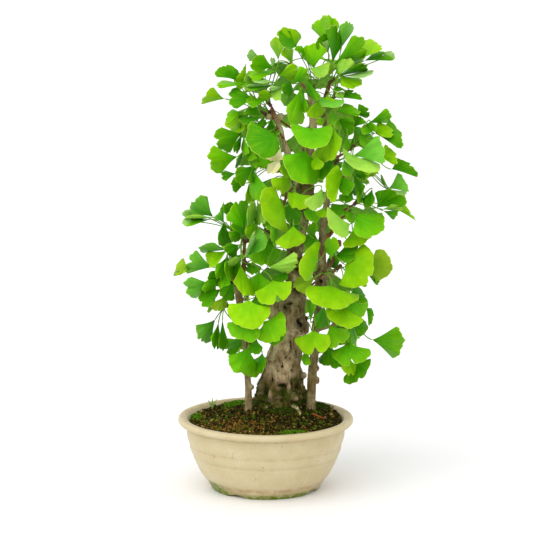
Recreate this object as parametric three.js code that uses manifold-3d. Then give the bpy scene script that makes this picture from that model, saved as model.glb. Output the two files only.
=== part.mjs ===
// Ginkgo bonsai: three trees on one mound of soil in a round stoneware pot.
// Millimetres, +Z up, the front faces -Y. The pot's axis is x = 0, y = 0 until the whole
// group is moved at the end, so that its origin is the bottom centre of its box.
import * as THREE from 'three';
import { mergeVertices } from 'three/addons/utils/BufferGeometryUtils.js';
import Module from 'manifold-3d';

const wasm = await Module();
wasm.setup();

// ---------------------------------------------------------------- driving dimensions
const GAP = 0.3; // air between pieces that touch
const UP = new THREE.Vector3(0, 0, 1);

// The front elevation is drawn on the plane y = 0 as seen from EYE. A point that lies deeper
// or nearer is slid along the line from EYE through its place on that plane.
const EYE = new THREE.Vector3(1, -2400, 650);

// Pot: radius and height of each corner of the section, anticlockwise from the foot's outer edge.
const POT_SIDES = 28;
const POT_OUTSIDE = [
  [65.5, 0], [69, 7], [72, 11], [78.6, 19.5], [85, 32], [90, 44.5], [94, 59], [97, 79],
];
const POT_LIP = [[103.5, 79.4], [106.5, 82.8], [105, 87], [100, 87.4], [96, 85.8]];
const POT_INSIDE = [[91, 77.5], [87.4, 57], [83.8, 44.5], [76, 27], [62, 14.2]];
const POT_FLOOR = { top: 13.5, underside: 6 };
const FOOT_INNER_RADIUS = 59;
const DRAIN_RADIUS = 11;
const FOOT_ARCH = { count: 4, first: 58.25, width: 26, height: 3, radius: 66, reach: 30 }; // degrees, mm

// Drain net over the hole, and the wire clip that holds it.
const NET = { side: 44, thickness: 1.2, holes: 4, pitch: 9, hole: 6.4 };
const CLIP = { radius: 0.8, leg: 4.5, reach: 20, row: 4.5, bend: 1.2, foot: 2, tension: 0.1, steps: 18 };

// Soil: level at the wall, and a mound round the foot of the thick tree.
const SOIL = { edge: 82.5, mound: 11.5, spread: 44, rings: 4, brim: 2.2 };
const HOLLOW = { net: 1, clip: 4 }; // room that the soil leaves round the net and the clip
const MOUND_CENTRE = new THREE.Vector2(18, 36);

// Stems: [x, z] on the front elevation, depth y, radius.
const STEMS = {
  trunk: {
    tree: 'main_trunk', sides: 10, steps: 24, flutes: 4, fluting: 0.07,
    stations: [
      [15, 66, 38, 30], [16, 94, 38, 31.5], [17, 107, 38, 28.5], [18.5, 125, 38, 29], [19.5, 144, 38, 25.5],
      [20.5, 156, 37, 23], [24.5, 169, 36, 20], [29, 187, 36, 13.5], [33, 206, 36, 14.5], [32, 218, 36, 14.5],
      [39, 242, 36, 11.5], [36, 266, 35, 9.6], [35, 290, 35, 9.4], [40, 308, 34, 8], [42.5, 322, 34, 7.8],
      [46, 345, 34, 10], [47, 362, 33, 12.5], [48, 378, 33, 10], [50, 400, 32, 7.5], [51, 416, 32, 7],
      [56.5, 440, 31, 4.8], [54, 470, 30, 4], [52, 479, 30, 3],
    ],
  },
  bough: {
    tree: 'main_trunk', sides: 6, steps: 8, flutes: 0, fluting: 0,
    stations: [
      [44, 362, 31, 5.5], [34, 374, 30, 4.5], [30, 386, 29, 4.2], [28, 400, 28, 4.2], [25, 411, 28, 4.2],
      [20, 422, 26, 3.8], [18, 434, 25, 3.5],
      [14, 446, 24, 3.3], [9, 454, 23, 3], [7, 461, 23, 2.4],
    ],
  },
  snag: {
    tree: 'main_trunk', sides: 5, steps: 4, flutes: 0, fluting: 0,
    stations: [[36, 368, 30, 3], [27, 362, 28, 2.2], [23, 350, 27, 1.8], [21, 345, 27, 1.5]],
  },
  right: {
    tree: 'right_trunk', sides: 7, steps: 20, flutes: 3, fluting: 0.06,
    stations: [
      [55, 72, 20, 6], [55, 98, 20, 5.8], [55.3, 107, 20, 5.3], [55.8, 125, 20, 5.6], [58, 156, 19, 5.4],
      [61, 175, 18, 4.6], [59.5, 198, 17, 4.2], [63, 218, 16, 3.9], [66, 246, 14, 7], [69, 264, 13, 8.6],
      [68, 278, 12, 5],
      [67, 290, 12, 3.1], [68, 303, 12, 4.9], [69, 316, 12, 4.6], [69, 328, 13, 4.2], [74, 350, 14, 3.8],
      [75, 366, 15, 2.9], [73, 410, 18, 2.9], [69, 466, 20, 3], [75, 488, 21, 2.4],
    ],
  },
  knee: {
    tree: 'right_trunk', sides: 5, steps: 4, flutes: 0, fluting: 0,
    stations: [[69, 296, 12, 3], [80, 300, 12, 2.4], [88, 303, 12, 2.6], [89, 295, 12, 2]],
  },
  thorn: {
    tree: 'right_trunk', sides: 5, steps: 3, flutes: 0, fluting: 0,
    stations: [[69, 303, 12, 3.2], [78, 310, 11, 2.6], [82, 318, 10, 2]],
  },
  elbow: {
    tree: 'right_trunk', sides: 5, steps: 3, flutes: 0, fluting: 0,
    stations: [[70, 262, 12, 4], [77, 272, 9, 3], [83, 283, 7, 2.2]],
  },
  left: {
    tree: 'left_trunk', sides: 6, steps: 11, flutes: 0, fluting: 0,
    stations: [
      [-21, 72, 16, 4.8], [-21, 98, 16, 4.6], [-20.7, 119, 16, 4.1], [-21.7, 131, 16, 3.6], [-25, 175, 15, 3],
      [-28, 205, 14, 3.2], [-32, 232, 13, 4.6], [-32, 244, 13, 4.3], [-37, 254, 12, 2.9], [-39, 266, 12, 2.2],
    ],
  },
  shoot: {
    tree: 'left_trunk', sides: 5, steps: 3, flutes: 0, fluting: 0,
    stations: [[-32, 238, 13, 3.4], [-27, 256, 13, 2.9], [-26, 280, 13, 2.6], [-25, 302, 14, 2.1]],
  },
};
const AXIS_SAMPLES = 80;

// Burrs, buds and stubs: tree, [x, z] on the elevation, depth y, half sizes in x, y and z.
const BURRS = [
  ['main_trunk', 6, 152, 22, 8, 7, 8], ['main_trunk', 40, 120, 30, 8.5, 8, 8],
  ['main_trunk', 42.5, 137, 34, 5.5, 5, 4.5], ['main_trunk', 12, 178, 30, 6, 6, 6],
  ['main_trunk', 8, 217, 30, 9.5, 9, 13], ['main_trunk', 22, 220, 28, 9, 8, 11],
  ['main_trunk', 45, 196, 28, 8.5, 8, 10], ['main_trunk', 0, 110, 24, 10, 10, 9],
  ['main_trunk', 26, 112, 14, 12, 8, 8], ['main_trunk', 44, 112, 54, 10, 11, 9],
  ['main_trunk', 4, 128, 58, 10, 9, 12], ['main_trunk', 28, 152, 58, 9, 8, 10],
  ['main_trunk', 30, 258, 30, 7, 6, 8], ['main_trunk', 40, 296, 30, 6, 6, 6],
  ['main_trunk', 3, 172, 30, 2.5, 3, 6], ['main_trunk', 31, 418, 26, 2, 2, 10],
  ['main_trunk', 3, 451, 21, 4, 4, 4], ['main_trunk', 18, 451, 24, 4, 4, 4],
  ['right_trunk', 76, 262, 10, 7, 6, 7], ['right_trunk', 62, 260, 8, 6, 5, 7],
  ['right_trunk', 63, 131, 17, 2.2, 2.2, 4.5], ['right_trunk', 63, 146, 18, 2.2, 2.2, 3],
  ['left_trunk', -17, 123, 14, 3, 3, 3],
];
const KNOB_RADIUS = 1.12; // an icosahedron of this radius fills about as much as a ball of radius 1

// Surface roots of the thick tree: points x, y, z from the trunk out into the soil, and first radius.
const ROOTS = [
  { radius: 3.2, path: [[26, 24, 96], [33, 11, 97.5], [40, 1, 95], [42.5, -6, 88.5], [42, -10, 82]] },
  { radius: 3.4, path: [[4, 26, 97], [1, 13, 95], [-1, 2, 88], [-3, -6, 80]] },
  { radius: 7, path: [[32, 50, 94], [46, 56, 90], [55, 62, 83], [58, 65, 77]] },
  { radius: 6, path: [[4, 50, 94], [-10, 60, 89], [-20, 70, 80], [-24, 74, 75]] },
];
const ROOT_TAPER = 0.8;

// Moss: x, y on the soil, half sizes along x and y, height of the cushion.
const MOSS = [
  ['moss_left', -38, 58, 15, 20, 5], ['moss_rim', -84, 8, 6, 15, 4], ['moss_front', 33, -74, 15, 10, 4],
  ['moss_right', 65, 42, 13, 17, 5], ['moss_trunk', 22, 2, 17, 9, 5],
];
const FALLEN_TWIG = { radius: 1, tip: 0.6, lift: 1.8, path: [[57, -3], [63, -9], [71, -16]] };
const GRASS = {
  x: -66, y: 48, lift: 0.8, blades: 3, height: 13, width: 2, lean: 22, fanning: 0.2, waist: 0.6, tip: 0.3,
};

// Leaf build: stalk and blade sections, short shoot and twig.
const STALK = { width: 1.5, taper: 0.7, first: 1.6, stagger: 1, aside: 1.2 };
const BLADE_THICKNESS = 0.8;
const SPUR = { radius: 2.3, start: 0.6, length: 8, out: 0.7, rise: 0.7 };
const TWIG = { first: 2.7, last: 1.8, rise: 0.45, least: 4, most: 30, lead: 8 };
const CROWN_AXIS = new THREE.Vector2(41, 28);
const CORNER = { trim: 1.5, outset: 3 }; // a blade's corners are trimmed, and move out for clearance

// Blade: width over length, spare width, place of the corners along it, most turn from the eye.
const LEAF = { widthPerLength: 1.5, spare: 1.04, cornerAt: 0.45, cornerRange: [-0.3, 0.9], mostTurn: 0.4 };

// Front sprays: the stem that carries each one, its short shoot [x, z, depth], and its leaves
// [end of the stalk x, z, corner x, z, middle of the outer edge x, z, corner x, z, depth].
const FRONT_SPRAYS = [
  { stem: 'right', spur: [76, 491, 21], leaves: [
    [79, 528, 53, 556, 71, 570, 87, 560, 26], [79, 515, 70, 555, 86, 558, 104, 553, 14],
    [81, 513, 103, 548, 119, 536, 111, 511, 4], [104, 517, 118, 543, 137, 534, 128, 526, 20],
    [117, 517, 130, 530, 144, 525, 152, 517, 25], [136, 519, 141, 527, 151, 527, 151, 517, 23],
    [90, 535, 86, 557, 98, 563, 104, 553, 12]] },
  { stem: 'right', spur: [77, 470, 16], leaves: [
    [52, 508, 59, 498, 72, 500, 75, 516, 0], [87, 500, 82, 515, 96, 520, 107, 513, 0],
    [88, 499, 104, 511, 118, 514, 120, 504, 8], [87, 500, 114, 496, 108, 485, 89, 487, 9],
    [72, 474, 63, 473, 75, 461, 95, 470, -10], [89, 473, 96, 483, 107, 480, 116, 470, 15],
    [92, 499, 124, 506, 127, 502, 114, 496, 6], [72, 495, 73, 508, 82, 517, 86, 510, 24],
    [74, 476, 66, 470, 74, 465, 85, 469, -12], [92, 471, 83, 475, 85, 480, 94, 479, 8]] },
  { stem: 'trunk', spur: [52, 482, 30], leaves: [
    [57, 508, 41, 522, 53, 537, 74, 530, 12], [37, 533, 28, 553, 14, 546, 28, 529, 8],
    [36, 533, 11, 548, 27, 556, 43, 545, 20], [32, 512, 18, 524, 23, 533, 33, 530, 26],
    [16, 500, 28, 513, 39, 507, 31, 491, 4], [31, 491, 40, 512, 51, 503, 49, 492, 2],
    [19, 502, 26, 512, 35, 513, 38, 506, 9], [49, 495, 47, 482, 57, 470, 66, 475, -12],
    [74, 526, 59, 531, 66, 548, 78, 541, 10], [73, 528, 59, 531, 63, 537, 77, 541, 8],
    [46, 522, 33, 530, 40, 535, 45, 530, 14], [30, 492, 19, 490, 24, 475, 34, 480, 6]] },
  { stem: 'trunk', spur: [46, 463, 16], leaves: [
    [62, 470, 48, 460, 57, 448, 72, 459, -8], [41, 483, 24, 462, 31, 443, 47, 446, -16],
    [42, 484, 39, 468, 45, 455, 50, 466, -6], [72, 450, 61, 449, 61, 442, 68, 440, 0]] },
  { stem: 'bough', spur: [6, 464, 23], leaves: [
    [15, 518, 5, 535, 12, 545, 22, 534, 30], [-8, 522, -18, 516, -22, 524, -16, 531, 34],
    [8, 510, -3, 525, -18, 514, -8, 502, 10], [14, 506, -21, 505, -19, 498, -12, 491, 14],
    [10, 492, -5, 497, -14, 493, -6, 490, -4], [4, 487, -12, 492, -26, 488, -12, 481, 2],
    [8, 489, -20, 489, -21, 482, -3, 478, 3], [8, 509, 5, 518, 8, 521, 12, 517, 12],
    [8, 474, 3, 483, -10, 476, 0, 469, 4], [20, 484, 5, 480, 7, 472, 18, 470, 2],
    [20, 486, 6, 488, 5, 482, 12, 480, 3]] },
  { stem: 'bough', spur: [0, 453, 18], leaves: [
    [-36, 494, -60, 498, -48, 512, -31, 502, 20], [-24, 490, -39, 492, -28, 506, -23, 515, 27],
    [-49, 472, -63, 487, -73, 475, -77, 465, 16], [-12, 472, -37, 487, -44, 472, -36, 459, 6],
    [2, 471, -14, 461, -22, 466, -23, 475, -6], [-18, 489, -26, 492, -22, 503, -16, 504, 20],
    [-9, 470, -15, 470, -19, 476, -19, 480, 4], [-25, 489, -48, 494, -58, 490, -54, 484, 18]] },
  { stem: 'bough', spur: [-4, 437, 12], leaves: [
    [-28, 431, -55, 439, -60, 421, -43, 406, 0], [-34, 403, -64, 418, -68, 396, -55, 381, 4],
    [-29, 456, -39, 460, -47, 451, -43, 442, 10], [-20, 462, -34, 457, -41, 448, -46, 440, 16],
    [-5, 450, -20, 441, -29, 443, -33, 452, 0], [-31, 434, -41, 433, -41, 438, -35, 441, 12],
    [-29, 432, -35, 438, -35, 445, -31, 440, 13], [-28, 431, -39, 416, -36, 407, -30, 413, -2],
    [-26, 428, -29, 416, -26, 405, -19, 410, -4], [-7, 452, -11, 464, -21, 462, -26, 453, 2],
    [-3, 451, -11, 442, -4, 439, 2, 442, 8]] },
  { stem: 'bough', spur: [16, 432, 6], leaves: [
    [14, 429, -18, 447, -15, 408, 17, 411, -38], [18, 414, -1, 402, 8, 398, 21, 400, -28],
    [17, 401, 2, 394, 5, 382, 18, 391, -30], [-20, 416, -27, 404, -19, 398, -10, 402, -8],
    [-27, 408, -33, 402, -36, 389, -29, 398, -4], [6, 448, 1, 438, 8, 428, 16, 436, 18],
    [-5, 412, -22, 398, -9, 389, 9, 396, -6]] },
  { stem: 'trunk', spur: [12, 388, 8], leaves: [
    [-12, 384, -22, 366, -8, 349, 4, 365, -26], [-15, 390, -31, 392, -37, 378, -26, 367, -12],
    [-24, 371, -38, 379, -41, 369, -36, 359, 4], [-20, 371, -25, 356, -21, 348, -17, 353, 0],
    [-36, 383, -49, 387, -53, 380, -48, 373, 12], [-15, 393, -21, 376, -16, 370, -10, 376, -20]] },
  { stem: 'trunk', spur: [51, 433, 10], leaves: [
    [54, 437, 28, 446, 56, 412, 80, 442, -45], [47, 411, 19, 405, 43, 370, 69, 388, -36]] },
  { stem: 'right', spur: [83, 444, 6], leaves: [
    [81, 438, 53, 404, 76, 397, 91, 424, -42], [60, 404, 52, 396, 61, 387, 70, 396, -41],
    [80, 405, 61, 388, 70, 375, 82, 390, -30], [86, 446, 96, 451, 106, 440, 96, 425, 0],
    [80, 457, 77, 445, 84, 438, 90, 447, -4], [84, 457, 93, 467, 110, 459, 108, 451, 8],
    [104, 438, 105, 452, 114, 450, 120, 443, 6], [97, 427, 91, 415, 96, 410, 102, 415, -2]] },
  { stem: 'right', spur: [101, 412, 8], leaves: [
    [104, 404, 132, 429, 141, 413, 141, 394, -22], [104, 405, 139, 393, 110, 387, 92, 414, -24],
    [130, 431, 148, 447, 163, 426, 159, 412, 10], [127, 434, 133, 445, 152, 432, 138, 427, 8],
    [122, 443, 142, 461, 149, 453, 146, 443, 16], [107, 453, 110, 466, 123, 458, 119, 449, 14],
    [134, 403, 142, 418, 156, 404, 153, 393, 6], [150, 388, 155, 402, 174, 393, 182, 378, 12],
    [128, 432, 118, 442, 113, 436, 117, 429, 4], [110, 432, 112, 420, 119, 415, 126, 425, 2],
    [121, 390, 118, 385, 121, 381, 126, 384, -10], [124, 446, 119, 440, 127, 433, 132, 440, 6]] },
  { stem: 'right', spur: [106, 388, 4], leaves: [
    [94, 384, 86, 393, 71, 370, 83, 347, -38], [91, 380, 87, 366, 97, 357, 106, 372, -42],
    [93, 400, 90, 385, 99, 379, 106, 389, -40], [147, 365, 158, 385, 168, 372, 171, 361, 8],
    [147, 364, 138, 372, 138, 382, 142, 370, 6], [149, 364, 169, 362, 164, 354, 155, 356, 2],
    [118, 375, 103, 380, 108, 389, 122, 383, -4], [106, 381, 103, 360, 112, 356, 119, 368, -6],
    [114, 371, 108, 356, 112, 347, 118, 354, -8], [104, 363, 87, 357, 92, 348, 105, 351, 0]] },
  { stem: 'right', spur: [106, 346, 0], leaves: [
    [133, 342, 130, 361, 158, 361, 168, 343, -2], [157, 340, 166, 346, 176, 333, 180, 326, 8],
    [141, 338, 159, 339, 157, 332, 152, 327, 0], [127, 364, 116, 353, 121, 341, 131, 352, -17],
    [140, 340, 150, 346, 163, 343, 160, 337, -6]] },
  { stem: 'right', spur: [98, 334, -4], leaves: [
    [107, 335, 141, 336, 134, 309, 104, 312, -32], [101, 322, 74, 343, 79, 315, 99, 308, -38],
    [104, 315, 91, 297, 111, 295, 128, 309, -22], [94, 346, 79, 347, 80, 335, 93, 334, -6],
    [104, 337, 94, 338, 99, 325, 107, 326, -12]] },
  { stem: 'trunk', spur: [38, 352, 6], leaves: [
    [35, 361, 26, 361, 38, 339, 56, 356, -46], [67, 365, 46, 351, 60, 339, 72, 358, -50],
    [22, 343, 11, 368, -6, 340, 28, 312, -46], [50, 342, 45, 338, 57, 324, 65, 336, -30],
    [70, 343, 59, 337, 66, 330, 75, 333, -32], [29, 382, 6, 377, 17, 360, 31, 367, -30],
    [20, 395, 16, 389, 27, 378, 32, 391, -34], [26, 349, 21, 342, 32, 321, 45, 336, -6]] },
  { stem: 'trunk', spur: [34, 322, 6], leaves: [
    [33, 320, 10, 300, 30, 293, 50, 306, -50], [-10, 350, -12, 326, -5, 321, 3, 330, -16],
    [4, 270, 35, 289, 38, 273, 24, 261, -34], [14, 323, 6, 317, 8, 299, 16, 298, -40],
    [58, 314, 47, 309, 50, 292, 65, 300, 12], [36, 331, 29, 326, 33, 311, 43, 320, 7],
    [-2, 337, -13, 338, -15, 325, -8, 321, 0], [6, 333, -4, 327, 0, 316, 9, 320, -20],
    [58, 306, 49, 312, 55, 324, 63, 318, 2]] },
  { stem: 'right', spur: [70, 292, -6], leaves: [
    [63, 278, 66, 301, 41, 275, 54, 253, -40], [79, 280, 70, 290, 78, 307, 89, 294, -25],
    [84, 284, 100, 302, 111, 290, 95, 274, -24], [95, 273, 116, 300, 127, 258, 88, 249, -36]] },
  { stem: 'right', spur: [86, 268, 2], leaves: [
    [122, 270, 133, 293, 152, 271, 131, 253, -12], [122, 263, 128, 256, 134, 248, 137, 256, 0],
    [97, 248, 107, 250, 122, 231, 112, 226, -14], [104, 234, 83, 219, 103, 203, 125, 226, -34]] },
  { stem: 'right', spur: [68, 262, -6], leaves: [
    [79, 248, 50, 248, 73, 219, 114, 236, -42], [60, 258, 41, 259, 34, 245, 51, 239, -20],
    [92, 223, 72, 220, 92, 197, 119, 206, -40], [121, 221, 128, 220, 130, 208, 124, 197, -8],
    [86, 266, 74, 271, 78, 285, 90, 281, 14]] },
  { stem: 'right', spur: [66, 212, 2], leaves: [
    [54, 203, 50, 222, 56, 234, 61, 222, -12], [57, 193, 34, 183, 60, 162, 78, 187, -26],
    [77, 199, 70, 178, 88, 173, 103, 194, -22], [70, 223, 59, 211, 65, 194, 80, 206, -6],
    [99, 178, 79, 167, 103, 149, 128, 169, -14], [50, 171, 43, 160, 47, 150, 55, 152, -8]] },
  { stem: 'right', spur: [92, 206, 18], leaves: [
    [103, 200, 97, 184, 105, 174, 111, 188, 0], [104, 202, 118, 206, 123, 193, 111, 185, 6],
    [129, 181, 158, 198, 167, 178, 155, 157, 10], [110, 157, 128, 158, 113, 130, 93, 133, 4],
    [103, 156, 91, 149, 103, 137, 114, 148, -4], [78, 176, 62, 156, 78, 147, 98, 148, 24]] },
  { stem: 'shoot', spur: [-36, 312, 10], leaves: [
    [-63, 331, -70, 357, -86, 351, -92, 333, 10], [-87, 335, -91, 340, -100, 335, -93, 330, 6],
    [-62, 330, -84, 334, -97, 330, -88, 327, 4], [-66, 328, -88, 329, -95, 324, -91, 319, 8],
    [-87, 325, -90, 331, -100, 325, -92, 319, 2], [-50, 324, -63, 330, -56, 337, -50, 351, 6],
    [-50, 324, -57, 311, -53, 295, -39, 302, 2], [-42, 328, -51, 337, -48, 347, -37, 347, -2],
    [-32, 318, -44, 311, -38, 300, -29, 307, 0]] },
  { stem: 'shoot', spur: [-21, 304, 8], leaves: [
    [-25, 315, -48, 327, -35, 349, -20, 346, -20], [-22, 316, -23, 334, -14, 350, -13, 328, -24],
    [-26, 308, -41, 316, -37, 326, -24, 322, -10], [-10, 324, -23, 321, -20, 304, -7, 314, -12],
    [-23, 283, -9, 318, 2, 303, -5, 290, -28], [-26, 281, -18, 306, -12, 311, -13, 291, -34],
    [3, 300, -20, 287, 0, 271, 19, 291, -10], [6, 306, -2, 300, 3, 292, 13, 296, 6],
    [-15, 297, -21, 286, -14, 277, -5, 284, -6], [-16, 277, -25, 268, -14, 261, -5, 270, 0]] },
  { stem: 'left', spur: [-40, 268, 10], leaves: [
    [-47, 291, -62, 300, -79, 295, -75, 287, 10], [-47, 290, -71, 289, -68, 271, -56, 276, 6],
    [-64, 270, -84, 292, -94, 277, -97, 261, 12], [-92, 270, -99, 282, -109, 263, -95, 265, 16],
    [-103, 264, -105, 267, -111, 262, -107, 259, 14], [-32, 297, -44, 300, -49, 289, -35, 281, -4],
    [-27, 282, -37, 283, -46, 274, -38, 271, -10], [-47, 282, -61, 272, -56, 254, -43, 260, 2],
    [-46, 285, -50, 273, -43, 253, -37, 268, -2], [-50, 268, -67, 265, -67, 251, -51, 247, 8],
    [-34, 280, -42, 269, -35, 257, -27, 266, 4]] },
  { stem: 'left', spur: [-39, 250, 6], leaves: [
    [-62, 249, -91, 259, -98, 246, -86, 230, 8], [-55, 243, -75, 243, -80, 227, -66, 221, 2],
    [-50, 234, -68, 226, -58, 216, -45, 226, -2], [-60, 233, -67, 226, -70, 214, -63, 221, 4],
    [-38, 250, -53, 246, -53, 231, -37, 230, -6], [-58, 257, -71, 254, -75, 240, -60, 237, 4],
    [-44, 263, -57, 256, -53, 243, -41, 248, 0]] },
  { stem: 'shoot', spur: [-20, 272, 6], leaves: [
    [-30, 272, -39, 252, -24, 235, -10, 241, -28], [-8, 265, -20, 256, -9, 237, 7, 251, -16],
    [8, 254, -14, 239, 13, 225, 32, 253, -44], [24, 265, 28, 258, 14, 251, 11, 262, -18]] },
  { stem: 'left', spur: [-22, 236, 4], leaves: [
    [-20, 230, -46, 225, -22, 194, 7, 221, -42], [-22, 207, -48, 202, -27, 179, -5, 192, -30],
    [-2, 204, 19, 217, 18, 182, -14, 187, -34], [5, 192, 27, 195, 17, 177, 4, 177, -18],
    [-12, 237, -18, 227, -6, 220, 5, 223, -10]] },
  { stem: 'left', spur: [-44, 221, 11], leaves: [
    [-61, 206, -85, 199, -79, 180, -65, 180, 8], [-57, 202, -67, 184, -60, 169, -54, 180, 4],
    [-52, 205, -57, 180, -53, 168, -45, 178, 0], [-24, 182, -47, 183, -49, 168, -37, 162, 20]] },
  { stem: 'left', spur: [-19, 177, 13], leaves: [
    [-11, 182, -22, 177, -15, 163, -3, 171, 4], [-21, 172, -47, 161, -31, 138, -7, 147, -16],
    [-4, 165, 1, 158, -8, 139, -15, 156, -4], [-13, 151, -23, 141, -15, 134, -6, 142, 16]] },
];

// Back leaves fill the crown from side to side behind the stems: [height, centre x, half width].
const CROWN = [
  [165, 38, 68], [230, 32, 78], [290, 33, 80], [350, 55, 72], [410, 46, 76], [470, 30, 62], [530, 42, 40],
];
const BACK = {
  sprays: 12, leaves: 84, low: 178, high: 520, sweep: 200, centre: 30, depth: 1.05, spurAt: 0.46,
  baseAt: 0.76, baseVary: 0.2, width: 38, widthVary: 16, droop: 62, droopFall: 34, droopVary: 46,
  heightVary: 14, swing: 76, roll: 54,
};
const GOLDEN = 0.618034;

// ---------------------------------------------------------------- materials
const paint = (color, roughness) => new THREE.MeshStandardMaterial({ color, roughness, metalness: 0 });
const GLAZE = paint(0xe0d6b2, 0.45);
const SOIL_MIX = paint(0x3a2c1c, 0.95);
const MOSS_GREEN = paint(0x5e7a1c, 0.95);
const BARK = paint(0x96876e, 0.85);
const TWIG_BARK = paint(0x824632, 0.7);
const GRASS_GREEN = paint(0x6fa31f, 0.6);
const NET_PLASTIC = paint(0x22362a, 0.6);
const WIRE = new THREE.MeshStandardMaterial({ color: 0xb8b8b4, roughness: 0.35, metalness: 1 });
const LEAF_GREENS = [paint(0x55a50f, 0.5), paint(0x91c305, 0.5), paint(0x288200, 0.5)];

// ---------------------------------------------------------------- solids
/** A closed geometry as a Manifold, without its seams and without triangles of no area. */
function solid(geometry) {
  geometry.deleteAttribute('normal');
  geometry.deleteAttribute('uv');
  const merged = mergeVertices(geometry, 1e-4);
  const index = Array.from(merged.index.array);
  const triVerts = [];
  for (let i = 0; i < index.length; i += 3) {
    const [a, b, c] = index.slice(i, i + 3);
    if (a !== b && b !== c && c !== a) triVerts.push(a, b, c);
  }
  const vertProperties = new Float32Array(merged.attributes.position.array);
  const shell = new wasm.Mesh({ numProp: 3, vertProperties, triVerts: new Uint32Array(triVerts) });
  return new wasm.Manifold(shell);
}

const join = (solids) => solids.reduce((whole, next) => whole.add(next));
const overlaps = (a, b) => boxOf(a).intersectsBox(boxOf(b));

function boxOf(body) {
  const box = body.boundingBox();
  return new THREE.Box3(new THREE.Vector3(...box.min), new THREE.Vector3(...box.max));
}

/** Cuts from body each of the tools whose box reaches it. */
function cut(body, tools) {
  return tools.filter((tool) => overlaps(body, tool)).reduce((left, tool) => left.subtract(tool), body);
}

/** The largest connected piece: what a cut leaves loose falls away. */
function largest(body) {
  return body.decompose().reduce((best, piece) => (piece.volume() > best.volume() ? piece : best));
}

function mesh(name, body, material) {
  const { vertProperties, triVerts } = body.getMesh();
  const geometry = new THREE.BufferGeometry();
  geometry.setAttribute('position', new THREE.BufferAttribute(vertProperties, 3));
  geometry.setIndex(new THREE.BufferAttribute(triVerts, 1));
  const piece = new THREE.Mesh(geometry, material);
  piece.name = name;
  return piece;
}

/** Place on the elevation, slid along the line of sight to depth y. */
function place(x, z, y) {
  const onPlane = new THREE.Vector3(x, 0, z);
  return EYE.clone().lerp(onPlane, 1 - y / EYE.y);
}

/** Round limb along points, its radius read from radii, lumpy where it is fluted. */
function limb(points, radii, { sides, steps, grow = 0, flutes = 0, fluting = 0 }) {
  const curve = new THREE.CatmullRomCurve3(points);
  const frames = curve.computeFrenetFrames(steps);
  const tube = new THREE.CylinderGeometry(1, 1, 1, sides, steps);
  const spots = tube.attributes.position;
  const clearance = grow / Math.cos(Math.PI / sides);
  for (let i = 0; i < spots.count; i++) {
    const step = Math.round((spots.getY(i) + 0.5) * steps);
    const along = curve.getUtoTmapping(step / steps) * (radii.length - 1);
    const before = Math.min(Math.floor(along), radii.length - 2);
    const plain = THREE.MathUtils.lerp(radii[before], radii[before + 1], along - before);
    const angle = Math.atan2(spots.getZ(i), spots.getX(i));
    const radius = plain * (1 + fluting * Math.sin(flutes * angle + step)) + clearance;
    const spot = curve.getPointAt(step / steps)
      .addScaledVector(frames.normals[step], spots.getX(i) * radius)
      .addScaledVector(frames.binormals[step], -spots.getZ(i) * radius);
    if (step === 0) spot.addScaledVector(frames.tangents[0], -grow);
    if (step === steps) spot.addScaledVector(frames.tangents[steps], grow);
    spots.setXYZ(i, spot.x, spot.y, spot.z);
  }
  return solid(tube);
}

function lathe(profile, sides) {
  const points = profile.map(([radius, height]) => new THREE.Vector2(radius, height));
  return new THREE.LatheGeometry(points, sides).rotateX(Math.PI / 2);
}

function block(width, depth, height, x, y, z) {
  return solid(new THREE.BoxGeometry(width, depth, height).translate(x, y, z));
}

// ---------------------------------------------------------------- pot and drainage
function pot() {
  const floor = [[DRAIN_RADIUS, POT_FLOOR.top], [DRAIN_RADIUS, POT_FLOOR.underside]];
  const recess = [[FOOT_INNER_RADIUS - 1, POT_FLOOR.underside], [FOOT_INNER_RADIUS, 0]];
  const section = [...POT_OUTSIDE, ...POT_LIP, ...POT_INSIDE, ...floor, ...recess, POT_OUTSIDE[0]];
  return cut(solid(lathe(section, POT_SIDES)), footArches());
}

/** Low arches that part the foot ring into feet. Angles run from the front towards +X. */
function footArches() {
  const half = FOOT_ARCH.width / 2;
  const radius = (half ** 2 + FOOT_ARCH.height ** 2) / (2 * FOOT_ARCH.height);
  return Array.from({ length: FOOT_ARCH.count }, (_, i) => {
    const angle = THREE.MathUtils.degToRad(FOOT_ARCH.first + (360 / FOOT_ARCH.count) * i);
    const arch = new THREE.CylinderGeometry(radius, radius, FOOT_ARCH.reach, POT_SIDES);
    arch.translate(0, -FOOT_ARCH.radius, FOOT_ARCH.height - radius);
    return solid(arch.rotateZ(angle));
  });
}

function drainNet() {
  const level = POT_FLOOR.top + GAP + NET.thickness / 2;
  const holes = Array.from({ length: NET.holes ** 2 }, (_, i) => {
    const column = (i % NET.holes) - (NET.holes - 1) / 2;
    const row = Math.floor(i / NET.holes) - (NET.holes - 1) / 2;
    return block(NET.hole, NET.hole, 3 * NET.thickness, column * NET.pitch, row * NET.pitch, level);
  });
  return cut(block(NET.side, NET.side, NET.thickness, 0, 0, level), holes);
}

/** Wire bent over the net, down through two of its holes and outward under the pot's floor. */
function meshClip() {
  const top = POT_FLOOR.top + 2 * GAP + NET.thickness + CLIP.radius;
  const low = POT_FLOOR.underside - GAP - CLIP.radius;
  const half = [
    [CLIP.leg - CLIP.bend, top], [CLIP.leg, top - CLIP.bend],
    [CLIP.leg, low + CLIP.foot], [CLIP.leg + CLIP.foot, low], [CLIP.reach, low],
  ];
  const turns = [...half.map(([x, z]) => [-x, z]).reverse(), ...half];
  const points = turns.map(([x, z]) => new THREE.Vector3(x, CLIP.row, z));
  const path = new THREE.CatmullRomCurve3(points, false, 'catmullrom', CLIP.tension);
  const section = new THREE.Shape().absarc(0, 0, CLIP.radius, 0, 2 * Math.PI);
  const sweep = { steps: CLIP.steps, curveSegments: 3, extrudePath: path };
  return solid(new THREE.ExtrudeGeometry(section, sweep));
}

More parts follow.
